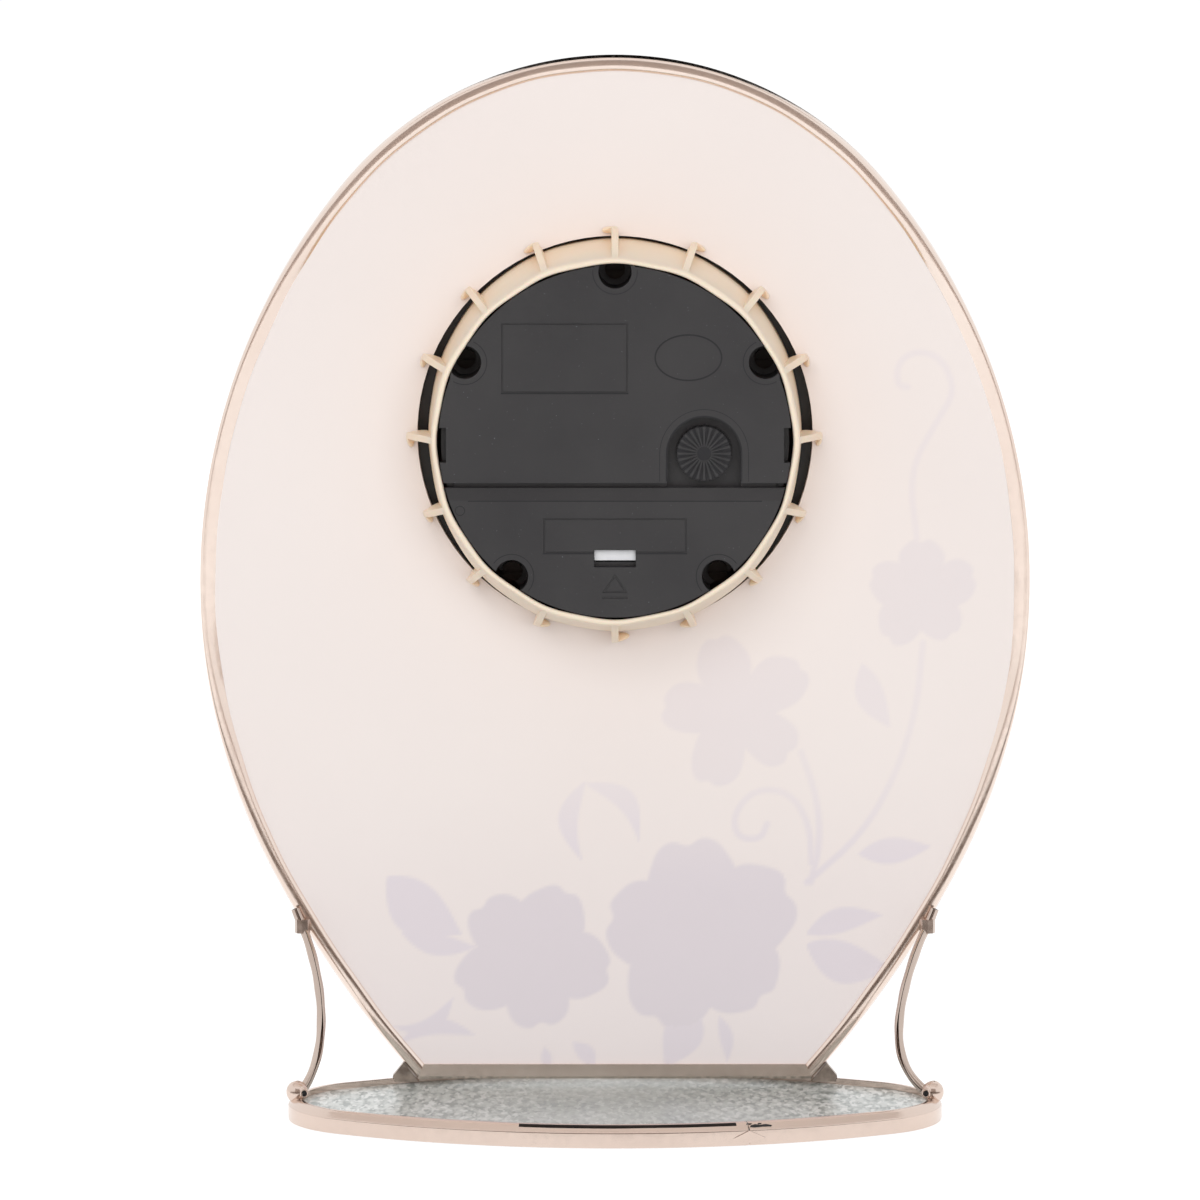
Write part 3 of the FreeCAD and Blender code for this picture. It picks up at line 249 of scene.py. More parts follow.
def mottled(tree, place, scale, low, high, dark, light, detail=3.0):
    """Colour that drifts between two tones."""
    noise = add(tree, "ShaderNodeTexNoise", {}, {"Vector": place, "Scale": scale, "Detail": detail})
    share = add(tree, "ShaderNodeMapRange", {}, {"Value": noise.outputs["Fac"], "From Min": low, "From Max": high})
    mix = add(tree, "ShaderNodeMix", {"data_type": "RGBA"}, {
        "Factor": share.outputs["Result"], 6: linear(dark), 7: linear(light)
    })
    return mix.outputs[2]


def bumped(tree, place, scale, strength, distance, detail=3.0):
    """Fine relief from noise."""
    noise = add(tree, "ShaderNodeTexNoise", {}, {"Vector": place, "Scale": scale, "Detail": detail})
    return add(tree, "ShaderNodeBump", {}, {
        "Height": noise.outputs["Fac"], "Strength": strength, "Distance": distance
    }).outputs["Normal"]


def printed_glass(name, flower_code, leaf_code, amount_share):
    """Float glass painted white behind, the flower print a flat pale lilac in it; a painted shade makes the ground a
    little darker at the foot.
    """
    material, tree, place = start_material(name)
    parts = add(tree, "ShaderNodeSeparateXYZ", {}, {"Vector": place})
    # Painted shade: over the lowest 70 mm the ground turns to a slightly darker tone towards the foot.
    rise = add(tree, "ShaderNodeMapRange", {"interpolation_type": "SMOOTHSTEP"}, {
        "Value": parts.outputs["Z"], "From Min": 0.0, "From Max": 0.07
    }).outputs["Result"]
    upper = mottled(tree, place, 9.0, 0.3, 0.7, "#F0E6E2", "#F4EBE7")
    ground = add(tree, "ShaderNodeMix", {"data_type": "RGBA"}, {
        "Factor": rise, 6: linear("#F0E6E5"), 7: upper
    }).outputs[2]
    shade = add(tree, "ShaderNodeAttribute", {"attribute_name": "print_shade"}, {}).outputs["Fac"]
    amount = add(tree, "ShaderNodeMath", {"operation": "MULTIPLY"}, {0: shade, 1: amount_share}).outputs[0]
    tone = add(tree, "ShaderNodeAttribute", {"attribute_name": "print_tone"}, {}).outputs["Fac"]
    ink = add(tree, "ShaderNodeMix", {"data_type": "RGBA"}, {
        "Factor": tone, 6: linear(flower_code), 7: linear(leaf_code)
    }).outputs[2]
    colour = add(tree, "ShaderNodeMix", {"data_type": "RGBA"}, {"Factor": amount, 6: ground, 7: ink}).outputs[2]
    shader = add(tree, "ShaderNodeBsdfPrincipled", {}, {
        "Base Color": colour, "Roughness": 0.3, "IOR": 1.5, "Normal": bumped(tree, place, 30.0, 0.04, 0.0004),
    })
    return finish_material(material, shader)


def bright_nickel(name, dark, light, roughness, wave):
    """Nickel plated brass strip rolled by hand: bright, rosy, with long soft waves and hairline scratches."""
    material, tree, place = start_material(name)
    colour = mottled(tree, place, 35.0, 0.3, 0.7, dark, light)
    streak = add(tree, "ShaderNodeTexNoise", {}, {"Vector": place, "Scale": 700.0, "Detail": 2.0}).outputs["Fac"]
    rough = add(tree, "ShaderNodeMapRange", {}, {
        "Value": streak, "From Min": 0.3, "From Max": 0.7, "To Min": roughness, "To Max": roughness + 0.08
    }).outputs["Result"]
    shader = add(tree, "ShaderNodeBsdfPrincipled", {}, {
        "Base Color": colour, "Metallic": 1.0, "Roughness": rough,
        "Normal": bumped(tree, place, 90.0, wave, 0.0004),
    })
    return finish_material(material, shader)


def tin_solder():
    """Tin lead solder left as it ran: grey, lumpy and dull bright."""
    material, tree, place = start_material("tin_solder")
    shader = add(tree, "ShaderNodeBsdfPrincipled", {}, {
        "Base Color": mottled(tree, place, 420.0, 0.35, 0.65, "#A2948B", "#D6C8BD"), "Metallic": 1.0,
        "Roughness": 0.36, "Normal": bumped(tree, place, 700.0, 0.5, 0.0003),
    })
    return finish_material(material, shader)


def rippled_glass():
    """Rolled figured glass: green grey, with small sharp ripples drawn long where they lie flat; their light and dark,
    their white glints and the calmer, lighter middle of the foot are painted into the colour.
    """
    material, tree, place = start_material("rippled_glass")
    drawn = add(tree, "ShaderNodeVectorMath", {"operation": "MULTIPLY"}, {0: place, 1: (0.32, 0.115, 1.0)}).outputs[0]
    across = add(tree, "ShaderNodeSeparateXYZ", {}, {"Vector": place}).outputs["X"]
    away = add(tree, "ShaderNodeMath", {"operation": "ABSOLUTE"}, {0: across}).outputs[0]
    # Painted light: the middle of the foot gets a calmer, lighter tone, its ends more contrast and glints.
    painted_calm_middle = add(tree, "ShaderNodeMapRange", {}, {
        "Value": away, "From Min": 0.01, "From Max": 0.045, "To Min": 0.8, "To Max": 0.3
    }).outputs["Result"]
    # Painted shade and highlight of the ripples: dark to light tones drawn long; the green grey is the glass's own
    # tint.
    grain = mottled(tree, drawn, 2300.0, 0.38, 0.6, "#7C8683", "#E4E9E6", 2.0)
    wide = mottled(tree, place, 40.0, 0.35, 0.65, "#B4BBB7", "#D2D7D4", 2.0)
    ground = add(tree, "ShaderNodeMix", {"data_type": "RGBA"}, {"Factor": painted_calm_middle, 6: grain, 7: wide}).outputs[2]
    # Painted glints: small white spots mixed into the colour.
    spark = add(tree, "ShaderNodeTexNoise", {}, {"Vector": drawn, "Scale": 2900.0, "Detail": 1.0}).outputs["Fac"]
    painted_glint = add(tree, "ShaderNodeMapRange", {}, {"Value": spark, "From Min": 0.56, "From Max": 0.62}).outputs["Result"]
    lively = add(tree, "ShaderNodeMath", {"operation": "SUBTRACT"}, {0: 1.1, 1: painted_calm_middle}).outputs[0]
    share = add(tree, "ShaderNodeMath", {"operation": "MULTIPLY"}, {0: painted_glint, 1: lively}).outputs[0]
    colour = add(tree, "ShaderNodeMix", {"data_type": "RGBA"}, {
        "Factor": share, 6: ground, 7: linear("#F8FBF9")
    }).outputs[2]
    shader = add(tree, "ShaderNodeBsdfPrincipled", {}, {
        "Base Color": colour, "Roughness": 0.25, "IOR": 1.52, "Transmission Weight": 0.1,
        "Normal": bumped(tree, drawn, 1900.0, 0.6, 0.0003, 2.0),
    })
    return finish_material(material, shader)


def soft_vinyl():
    """Moulded cream vinyl: satin, a little see through, with a painted shade that makes it browner towards the panel.
    """
    material, tree, place = start_material("soft_vinyl")
    parts = add(tree, "ShaderNodeSeparateXYZ", {}, {"Vector": place})
    # Painted shade: the tone turns browner towards the panel, in the recess between the fins.
    depth = add(tree, "ShaderNodeMapRange", {}, {
        "Value": parts.outputs["Y"], "From Min": -0.0185, "From Max": -0.003
    }).outputs["Result"]
    deep_painted_shade = mottled(tree, place, 60.0, 0.3, 0.7, "#FFE2C2", "#FFEBD3")
    colour = add(tree, "ShaderNodeMix", {"data_type": "RGBA"}, {
        "Factor": depth, 6: deep_painted_shade, 7: linear("#F9E7D1")
    }).outputs[2]
    shader = add(tree, "ShaderNodeBsdfPrincipled", {}, {
        "Base Color": colour, "Roughness": 0.38, "IOR": 1.5, "Subsurface Weight": 0.12, "Subsurface Scale": 0.002,
        "Normal": bumped(tree, place, 260.0, 0.12, 0.0003),
    })
    return finish_material(material, shader)


def moulded_plastic(name, dark, light, roughness, grain):
    """Injection moulded ABS with a spark eroded grain of about 0.1 mm, drawn coarser so that it shows."""
    material, tree, place = start_material(name)
    speck = add(tree, "ShaderNodeTexNoise", {}, {"Vector": place, "Scale": 2600.0, "Detail": 2.0}).outputs["Fac"]
    share = add(tree, "ShaderNodeMapRange", {}, {"Value": speck, "From Min": 0.74, "From Max": 0.82}).outputs["Result"]
    ground = mottled(tree, place, 40.0, 0.3, 0.7, dark, light)
    colour = add(tree, "ShaderNodeMix", {"data_type": "RGBA"}, {"Factor": share, 6: ground, 7: linear("#6A6C72")})
    rounded = add(tree, "ShaderNodeBevel", {"samples": 4}, {"Radius": 0.00022})
    noise = add(tree, "ShaderNodeTexNoise", {}, {"Vector": place, "Scale": grain, "Detail": 2.0})
    bump = add(tree, "ShaderNodeBump", {}, {
        "Height": noise.outputs["Fac"], "Strength": 0.25, "Distance": 0.0001, "Normal": rounded.outputs["Normal"]
    })
    shader = add(tree, "ShaderNodeBsdfPrincipled", {}, {
        "Base Color": colour.outputs[2], "Roughness": roughness, "IOR": 1.53, "Normal": bump.outputs["Normal"]
    })
    return finish_material(material, shader)


def plain_finish(name, dark, light, metallic, roughness, scale=200.0, transmission=0.0):
    """Smaller pieces: two close tones, fine relief and the gloss of the real finish."""
    material, tree, place = start_material(name)
    shader = add(tree, "ShaderNodeBsdfPrincipled", {}, {
        "Base Color": mottled(tree, place, scale, 0.3, 0.7, dark, light), "Metallic": metallic,
        "Roughness": roughness, "Transmission Weight": transmission,
        "Normal": bumped(tree, place, scale * 4, 0.08, 0.0001),
    })
    return finish_material(material, shader)


panel_paint = printed_glass("float_glass_painted_back", "#E0D7DD", "#E3DAE1", 0.85)
front_paint = printed_glass("float_glass_printed_front", "#A98FC4", "#8FA48E", 0.95)
strip_metal = bright_nickel("nickel_strip_rolled", "#EAD7CB", "#F1E1D6", 0.14, 0.1)
# The rim and tube copies of the nickel are darker than the frame strip: a painted darker reflection, the plating being
# the same.
rim_nickel_painted_reflection = bright_nickel("nickel_strip_rim_painted_reflection", "#DDC9BD", "#E3D0C4", 0.14, 0.12)
tube_nickel_painted_reflection = bright_nickel("nickel_strip_tube_painted_reflection", "#B9A79C", "#D6C5BA", 0.14, 0.12)
solder_metal = tin_solder()
foot_glass = rippled_glass()
vinyl = soft_vinyl()
cover_plastic = moulded_plastic("abs_moulded_charcoal", "#2A292B", "#343334", 0.45, 1500.0)
# Black case plastic; the same near black also paints the shade inside the tubes' open ends.
case_black_and_painted_shade = moulded_plastic("abs_moulded_black", "#0D0D0F", "#151517", 0.4, 1200.0)
# Near black for flat lines that paint the shade of grooves and edges on the cover and the door.
painted_groove_shade = plain_finish("abs_engraved_shadow", "#141417", "#1B1B1F", 0.0, 0.5)
dial_paint = plain_finish("dial_card_satin", "#ECE6DA", "#F3EEE4", 0.0, 0.55, 120.0)
gilt = plain_finish("brass_gilt_polished", "#D2AE68", "#DDBD7E", 1.0, 0.17, 60.0)
clear = plain_finish("lens_clear_acrylic", "#FBFCFC", "#FFFFFF", 0.0, 0.03, 20.0, 1.0)
hand_paint = plain_finish("hand_black_enamel", "#0B0B0C", "#151516", 0.0, 0.3)
nylon = plain_finish("nylon_natural_moulded", "#DAD7CC", "#EFEDE6", 0.0, 0.45)
steel = plain_finish("steel_ground", "#8E9092", "#B9BBBD", 1.0, 0.3, 300.0)
ferrite = plain_finish("ferrite_sintered", "#1D1D1F", "#2C2C2E", 0.3, 0.55)
copper = plain_finish("copper_enamelled_wire", "#8E3F1C", "#C4652F", 0.8, 0.28, 500.0)
board = plain_finish("board_green_resist", "#0E3B1E", "#18552C", 0.0, 0.3)
# Near white sleeve of the cell; on the strip in the door's window the same tone is a painted highlight.
cell_sleeve_and_painted_highlight = plain_finish("cell_silver_sleeve", "#E4E5E8", "#FAFAFB", 0.0, 0.3, 160.0)
# Dark brown for the screw heads deep in their wells and for the rim's seam line: painted shade.
dark_painted_shade_steel = plain_finish("steel_dark_painted_shade", "#1A1512", "#2A211C", 0.6, 0.5, 300.0)

finishes = {
    "panel_glass": panel_paint, "panel_sill": strip_metal, "base_glass": foot_glass, "panel_tabs": solder_metal,
    "foot_solder": solder_metal, "collar_solder": tube_nickel_painted_reflection, "rim_solder": rim_nickel_painted_reflection,
    "panel_frame": strip_metal, "base_rim": rim_nickel_painted_reflection, "left_support": tube_nickel_painted_reflection, "right_support": tube_nickel_painted_reflection,
    "mounting_band": vinyl, "case_cup": case_black_and_painted_shade, "back_cover": cover_plastic, "battery_door": cover_plastic,
    "setting_knob": cover_plastic, "dial": dial_paint, "hour_bars": gilt, "lens_spacer": gilt, "lens": clear,
    "bezel": gilt, "hour_hand": hand_paint, "minute_hand": hand_paint, "second_hand": gilt, "hour_wheel": nylon,
    "motion_wheel": nylon, "minute_pinion": nylon, "centre_wheel": nylon, "third_wheel": nylon,
    "second_wheel": nylon, "second_arbor": steel, "intermediate_wheel": nylon, "rotor_pinion": nylon,
    "rotor_magnet": ferrite, "middle_plate": nylon, "train_bridge": nylon, "stator": steel, "coil_core": steel,
    "coil_bobbin": nylon, "coil_winding": copper, "circuit_board": board, "chip_dome": case_black_and_painted_shade,
    "quartz_crystal": steel, "cell": cell_sleeve_and_painted_highlight, "positive_contact": steel, "negative_contact": steel,
    "cover_screws": dark_painted_shade_steel,
}
for node_name, finish in finishes.items():
    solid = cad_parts[node_name]
    solid.data.materials.clear()
    solid.data.materials.append(finish)


# Panel outline


def panel_arcs():
    """Outer arcs of the panel from the right bottom corner over to the left one, heights from its bottom edge."""
    lower_across = panel_half_width - lower_radius
    upper_across = panel_half_width - upper_radius
    reach = upper_radius - panel_height
    top_centre = (upper_across ** 2 + widest_height ** 2 - reach ** 2) / (2 * (reach + widest_height))
    waist_turn = -math.degrees(math.asin((widest_height - waist_height) / lower_radius))
    foot_centre = polar(lower_radius - foot_side_radius, waist_turn, (lower_across, widest_height))
    bottom_turn = -math.degrees(math.asin(foot_centre[1] / foot_side_radius))
    blend = math.degrees(math.atan2(top_centre - widest_height, -upper_across))
    right = [
        (foot_centre[0], foot_centre[1], foot_side_radius, bottom_turn, waist_turn),
        (lower_across, widest_height, lower_radius, waist_turn, 0.0),
        (upper_across, widest_height, upper_radius, 0.0, blend),
        (0.0, top_centre, panel_height - top_centre, blend, 90.0),
    ]
    left = [(-x, y, radius, 180.0 - last, 180.0 - first) for x, y, radius, first, last in reversed(right)]
    return right + left


def walk(arcs, step):
    """Points and outward directions along a chain of arcs."""
    line = []
    for number, (x, y, radius, first, last) in enumerate(arcs):
        parts = max(2, int(radius * math.radians(last - first) / step))
        for index in range(parts + (number == len(arcs) - 1)):
            turn = first + (last - first) * index / parts
            point = polar(radius, turn, (x, y))
            way = polar(1.0, turn)
            line.append((point, way))
    return line


def outline_width(height):
    """Half width of the panel at a height above its bottom edge."""
    for x, y, radius, first, last in panel_arcs()[:4]:
        low = y + radius * math.sin(math.radians(first))
        high = y + radius * math.sin(math.radians(last))
        if low <= height <= high:
            return x + math.sqrt(max(radius ** 2 - (height - y) ** 2, 0.0))
    return 0.0


# Flower print, a common spray of five petalled flowers: place across, place up, petal reach, petal half width, turn


def petal(u, v, reach, half):
    """Distance inside a rounded petal lying along its own axis, with a shallow notch at its end."""
    centre = reach - half
    notch = 0.16 * half * math.exp(-(v / (0.22 * half)) ** 2) if u > centre else 0.0
    if u > centre:
        return half - math.hypot((u - centre) * 0.95, v) - notch
    if u < 0.0:
        return -1.0
    return half * (0.42 + 0.58 * math.sin(math.pi / 2 * u / centre)) - abs(v)


def leaf(u, v, length, half, bow):
    """Distance inside a pointed leaf, bent along its length."""
    if not 0.0 <= u <= length:
        return -1.0
    share = u / length
    middle = bow * math.sin(math.pi * share)
    return half * math.sin(math.pi * share ** 0.85) - abs(v - middle)


def in_frame(x, y, centre_x, centre_y, turn):
    """Point in the frame of a turned shape."""
    angle = math.radians(turn)
    dx = x - centre_x
    dy = y - centre_y
    return dx * math.cos(angle) + dy * math.sin(angle), dy * math.cos(angle) - dx * math.sin(angle)


flowers = [
    (58.3, -30.5, 10.4, 4.3, 90.0), (23.0, -53.0, 14.5, 5.0, 105.0), (16.3, -96.0, 18.5, 8.8, 98.0),
    (-16.0, -100.5, 14.6, 6.4, 62.0),
]
leaves = [
    (-43.5, -85.0, 18.0, 5.0, -38.0, -1.5), (-41.0, -95.5, 15.0, 2.2, -12.0, -1.0),
    (-5.7, -66.5, 15.5, 1.9, -92.0, -3.0), (-5.5, -67.0, 15.0, 2.0, -48.0, 3.4),
    (47.0, -44.0, 13.5, 2.7, -66.0, -1.0), (46.5, -80.6, 14.0, 2.5, 6.0, 0.0),
    (36.6, -98.0, 17.0, 4.0, -16.0, -1.5), (36.6, -96.0, 15.0, 2.4, 14.0, 1.0),
    (14.8, -109.0, 14.0, 3.8, -112.0, 0.8), (20.0, -112.0, 9.0, 1.3, -80.0, 0.6),
    (-31.0, -108.5, 13.0, 1.6, -155.0, 3.0), (-27.0, -115.5, 15.0, 1.6, -172.0, -2.6),
    (-8.0, -117.0, 7.0, 1.6, -55.0, 0.8), (-13.5, -118.0, 5.0, 1.0, -80.0, 0.0),
]
stems = [
    [(58.6, -40.0), (57.4, -53.0), (53.5, -65.5), (47.0, -77.0), (36.7, -86.0)],
    [(35.5, -61.0), (38.6, -69.8), (39.2, -78.5), (37.4, -86.0)],
    [(37.6, -82.3), (37.1, -74.6), (33.3, -68.6), (26.7, -68.0), (22.6, -72.7), (23.2, -77.4), (27.8, -77.8),
     (29.0, -74.8)],
    [(57.4, -20.5), (55.8, -7.3), (61.0, 2.3), (64.6, 8.1), (61.9, 14.4), (57.0, 15.8), (53.5, 13.4), (53.5, 9.2),
     (55.4, 8.8)],
]


def near_line(x, y, line):
    """Distance from a point to a line of straight runs."""
    best = 99.0
    for (ax, ay), (bx, by) in zip(line, line[1:]):
        run_x = bx - ax
        run_y = by - ay
        share = min(max(((x - ax) * run_x + (y - ay) * run_y) / (run_x ** 2 + run_y ** 2), 0.0), 1.0)
        best = min(best, math.hypot(x - ax - share * run_x, y - ay - share * run_y))
    return best


def rounded_line(line, passes):
    """Line with its corners cut until it runs smoothly."""
    for _ in range(passes):
        fresh = [line[0]]
        for (ax, ay), (bx, by) in zip(line, line[1:]):
            fresh.append((0.75 * ax + 0.25 * bx, 0.75 * ay + 0.25 * by))
            fresh.append((0.25 * ax + 0.75 * bx, 0.25 * ay + 0.75 * by))
        fresh.append(line[-1])
        line = fresh
    return line


smooth_stems = [rounded_line(line, 2) for line in stems]


def print_at(x, y):
    """Strength of the print and its tone, 0 for flowers and 1 for leaves and stems."""
    shade = 0.0
    tone = 0.0
    for centre_x, centre_y, reach, half, turn in flowers:
        if math.hypot(x - centre_x, y - centre_y) > reach + 1.0:
            continue
        for number in range(5):
            u, v = in_frame(x, y, centre_x, centre_y, turn + number * 72.0)
            wave = 0.3 * math.sin(u * 0.6 + number * 2.1) * math.cos(v * 0.5 + number)
            size = reach * (1.0 - 0.05 * math.sin(number * 2.6))
            shade = max(shade, smooth_step(-edge_softness / 2, edge_softness / 2, petal(u, v, size, half) + wave))
    for centre_x, centre_y, length, half, turn, bow in leaves:
        if math.hypot(x - centre_x, y - centre_y) > length + 4.0:
            continue
        u, v = in_frame(x, y, centre_x, centre_y, turn)
        value = smooth_step(-edge_softness / 2, edge_softness / 2, leaf(u, v, length, half, bow)) * leaf_strength
        if value > shade:
            shade, tone = value, 1.0
    for line in smooth_stems:
        if abs(x - line[0][0]) > 30.0 or abs(y - line[0][1]) > 52.0:
            continue
        inside = stem_half_width - near_line(x, y, line)
        value = smooth_step(-edge_softness / 2, edge_softness / 2, inside) * stem_strength
        if value > shade:
            shade, tone = value, 1.0
    return shade * (1.0 - fade_share * smooth_step(fade_low, fade_high, y)), tone


def print_sheet(name, back, material):
    """Skin on a face of the panel, clear of the hole and tucked under the strip."""
    bottom = rim_height - hole_height
    columns = int(2 * panel_half_width / print_step) + 1
    rows = int(panel_height / print_step) + 1
    index = {}
    points = []
    shades = []
    tones = []
    inside = {}
    for row in range(rows):
        height = row * print_step
        width = outline_width(height) - print_inset
        for column in range(columns):
            x = -panel_half_width + column * print_step
            y = bottom + height
            on_height = print_inset < height < panel_height - print_inset
            inside[row, column] = on_height and abs(x) < width and math.hypot(x, y) > hole_radius
    faces = []
    for row in range(rows - 1):
        for column in range(columns - 1):
            corners = [(row, column), (row, column + 1), (row + 1, column + 1), (row + 1, column)]
            if not any(inside[corner] for corner in corners):
                continue
            xs = [-panel_half_width + corner[1] * print_step for corner in corners]
            ys = [bottom + corner[0] * print_step for corner in corners]
            near_hole = min(math.hypot(x, y) for x, y in zip(xs, ys)) < hole_radius + hole_margin
            if not near_hole and not all(inside[corner] for corner in corners):
                continue
            face = []
            for corner, x, y in zip(corners, xs, ys):
                if corner not in index:
                    reach = math.hypot(x, y)
                    if reach < hole_radius:
                        x, y = x * hole_radius / reach, y * hole_radius / reach
                    index[corner] = len(points)
                    points.append(at(x, y, back))
                    shade, tone = print_at(x, y)
                    shades.append(shade)
                    tones.append(tone)
                face.append(index[corner])
            faces.append(face)
    piece = new_piece(name, points, faces, "stand", material)
    for title, values in (("print_shade", shades), ("print_tone", tones)):
        layer = piece.data.attributes.new(title, "FLOAT", "POINT")
        layer.data.foreach_set("value", values)
    return piece


print_sheet("flower_print_back", print_lift, panel_paint)
print_sheet("flower_print_front", -glass_thickness - print_lift, front_paint)


# Strips


def swept(line, section, level_axis, wobble, seed, twisted=False):
    """Section carried along an open line, with a little unevenness from the hand rolling.

    A twisted strip turns its wide slope to the back of the clock where it runs upright.
    """
    chance = random.Random(seed)
    phases = [chance.uniform(0, 6.28) for _ in range(4)]
    points = []
    for number, ((x, y), (way_x, way_y)) in enumerate(line):
        sway = math.sin(number * 0.23 + phases[0]) + 0.6 * math.sin(number * 0.61 + phases[1])
        lift = math.sin(number * 0.17 + phases[2]) + 0.5 * math.sin(number * 0.47 + phases[3])
        for out, level in section:
            if twisted and level > 0.03:
                lean = smooth_step(0.72, 0.95, abs(way_x)) * smooth_step(-0.4, -0.1, way_y)
                out = strip_width * (max(out / strip_width + 1.0, 0.0) ** (1.0 - 0.7 * lean) - 1.0)
            inner_share = min(-out / strip_width, 1.0)
            side = out + wobble * sway * inner_share
            high = level + wobble * lift * inner_share * 0.6
            points.append(level_axis(x + way_x * side, y + way_y * side, high))
    return points, closed_rod(len(line), len(section))


came_section = [
    (-3.0, 0.04), (-2.93, 0.25), (-2.65, 0.52), (-2.25, 0.65), (-1.7, 0.67), (-1.15, 0.6), (-0.7, 0.46),
    (-0.5, 0.3), (-0.46, 0.2), (-0.04, -1.3), (-0.02, -1.5), (-0.02, -2.8), (-0.16, -3.22), (-0.55, -3.46),
    (-1.1, -3.6), (-1.7, -3.67), (-2.25, -3.65), (-2.65, -3.52), (-2.93, -3.25), (-3.0, -3.04), (-1.0, -3.02),
    (-1.0, 0.02),
]


def to_panel(x, y, level):
    """Height above the panel's bottom edge to the row frame."""
    return at(x, y + rim_height - hole_height, level)


frame_points, frame_faces = swept(walk(panel_arcs(), strip_step), came_section, to_panel, 0.07, 3, True)
frame_strip = new_piece("frame_strip", frame_points, frame_faces, "stand", strip_metal)
sharpen(frame_strip, 50.0)
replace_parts(frame_strip, "panel_frame")


def base_arcs():
    """Four arcs of the oval foot."""
    run = base_half_length - base_end_radius
    side_radius = (run ** 2 + base_half_depth ** 2 - base_end_radius ** 2) / (2 * (base_half_depth - base_end_radius))
    drop = side_radius - base_half_depth
    blend = math.degrees(math.atan2(drop, run))
    return [
        (run, 0.0, base_end_radius, -blend, blend), (0.0, -drop, side_radius, blend, 180.0 - blend),
        (-run, 0.0, base_end_radius, 180.0 - blend, 180.0 + blend),
        (0.0, drop, side_radius, 180.0 + blend, 360.0 - blend),
    ]


def to_floor(x, y, level):
    """Foot frame, which is the row frame, in metres."""
    return (x * mm, y * mm, level * mm)


rim_section = [
    (-2.6, 0.02), (-0.35, 0.0), (-0.08, 0.12), (-0.02, 0.4), (-0.02, 0.6), (-0.02, 2.72), (-0.03, 2.84),
    (-0.1, 2.97), (-0.36, 3.12), (-0.5, 3.25), (-1.25, 3.92), (-1.42, 4.04), (-1.9, 4.14), (-2.4, 4.18),
    (-2.6, 4.08), (-2.6, 3.02), (-1.0, 3.02), (-1.0, 0.6), (-2.6, 0.6),
]
oval = base_arcs()
side = oval[1]
cut_turn = math.degrees(math.acos(joint_across / side[2]))
gap_turn = math.degrees(joint_half_gap / side[2])
rim_arcs = [
    (side[0], side[1], side[2], cut_turn + gap_turn, side[4]), oval[2], oval[3],
    (oval[0][0], oval[0][1], oval[0][2], oval[0][3] + 360.0, oval[0][4] + 360.0),
    (side[0], side[1], side[2], side[3] + 360.0, cut_turn - gap_turn + 360.0),
]
rim_points, rim_faces = swept(walk(rim_arcs, rim_step), rim_section, to_floor, 0.06, 5)
rim_strip = new_piece("rim_strip", rim_points, rim_faces, "stand", rim_nickel_painted_reflection)
sharpen(rim_strip, 50.0)
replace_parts(rim_strip, "base_rim")


# Supports: strip rolled to a tube with an open seam


def support_line(side_sign):
    """Centre line of a support from its foot to its upper end."""
    foot = base_half_length - support_inset
    back = panel_back + strip_swell + tube_radius + support_clear
    joint = foot - support_lean
    middle = (foot + joint) / 2 - support_bend
    a = (foot, 0.0, rim_height)
    b = (middle, back / 2, rim_height + support_rise / 2)
    c = (joint, back, rim_height + support_rise)
    steps, end_steps = 36, 4
    line = []
    for index in range(steps + 1):
        share = index / steps
        wa = 2 * (share - 0.5) * (share - 1.0)
        wb = -4 * share * (share - 1.0)
        wc = 2 * share * (share - 0.5)
        line.append([side_sign * (wa * a[0] + wb * b[0] + wc * c[0]), wa * a[1] + wb * b[1] + wc * c[1],
                     wa * a[2] + wb * b[2] + wc * c[2]])
    bow = bow_left if side_sign > 0 else bow_right
    for point in line:
        rise = max(point[2] - rim_height, 0.0)
        fade = math.sqrt(max(1.0 - rise / support_rise, 0.0))
        point[0] -= side_sign * (bow * rise / bow_height * math.exp(1.0 - rise / bow_height) * fade)
    for index in range(1, end_steps + 1):
        across = side_sign * (joint + support_end_lean * index / end_steps)
        line.append([across, back, rim_height + support_rise + support_end_rise * index / end_steps])
    return line


def rolled_tube(name, side_sign, node):
    """Tube swept along a support, its seam widest in the lower third."""
    line = [Vector(point) for point in support_line(side_sign)]
    shares = [index / 20 for index in range(21)]
    ring_section = [(tube_radius, share) for share in shares]
    ring_section += [(tube_radius - tube_wall, share) for share in reversed(shares)]
    points = []
    for number, point in enumerate(line):
        before = line[max(number - 1, 0)]
        after = line[min(number + 1, len(line) - 1)]
        along = (after - before).normalized()
        across = along.cross(Vector((0.0, 1.0, 0.0))).normalized()
        outward = across.cross(along).normalized()
        flat = 1.0 + 0.05 * math.sin(number * 0.9)
        opening = seam_half_turn + seam_spread * math.exp(-((point[2] - rim_height - seam_height) / seam_length) ** 2)
        for reach, share in ring_section:
            turn = opening + (360.0 - 2 * opening) * share
            u, v = polar(reach, turn - 90.0 + seam_turn * side_sign)
            spot = point + across * u * flat - outward * v
            points.append(tuple(spot * mm))
    faces = closed_rod(len(line), len(ring_section))
    piece = new_piece(name, points, faces, "stand", tube_nickel_painted_reflection)
    sharpen(piece, 60.0)
    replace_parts(piece, node)


rolled_tube("support_tube_left", 1, "left_support")
rolled_tube("support_tube_right", -1, "right_support")


# Solder at the feet and marks on the rim


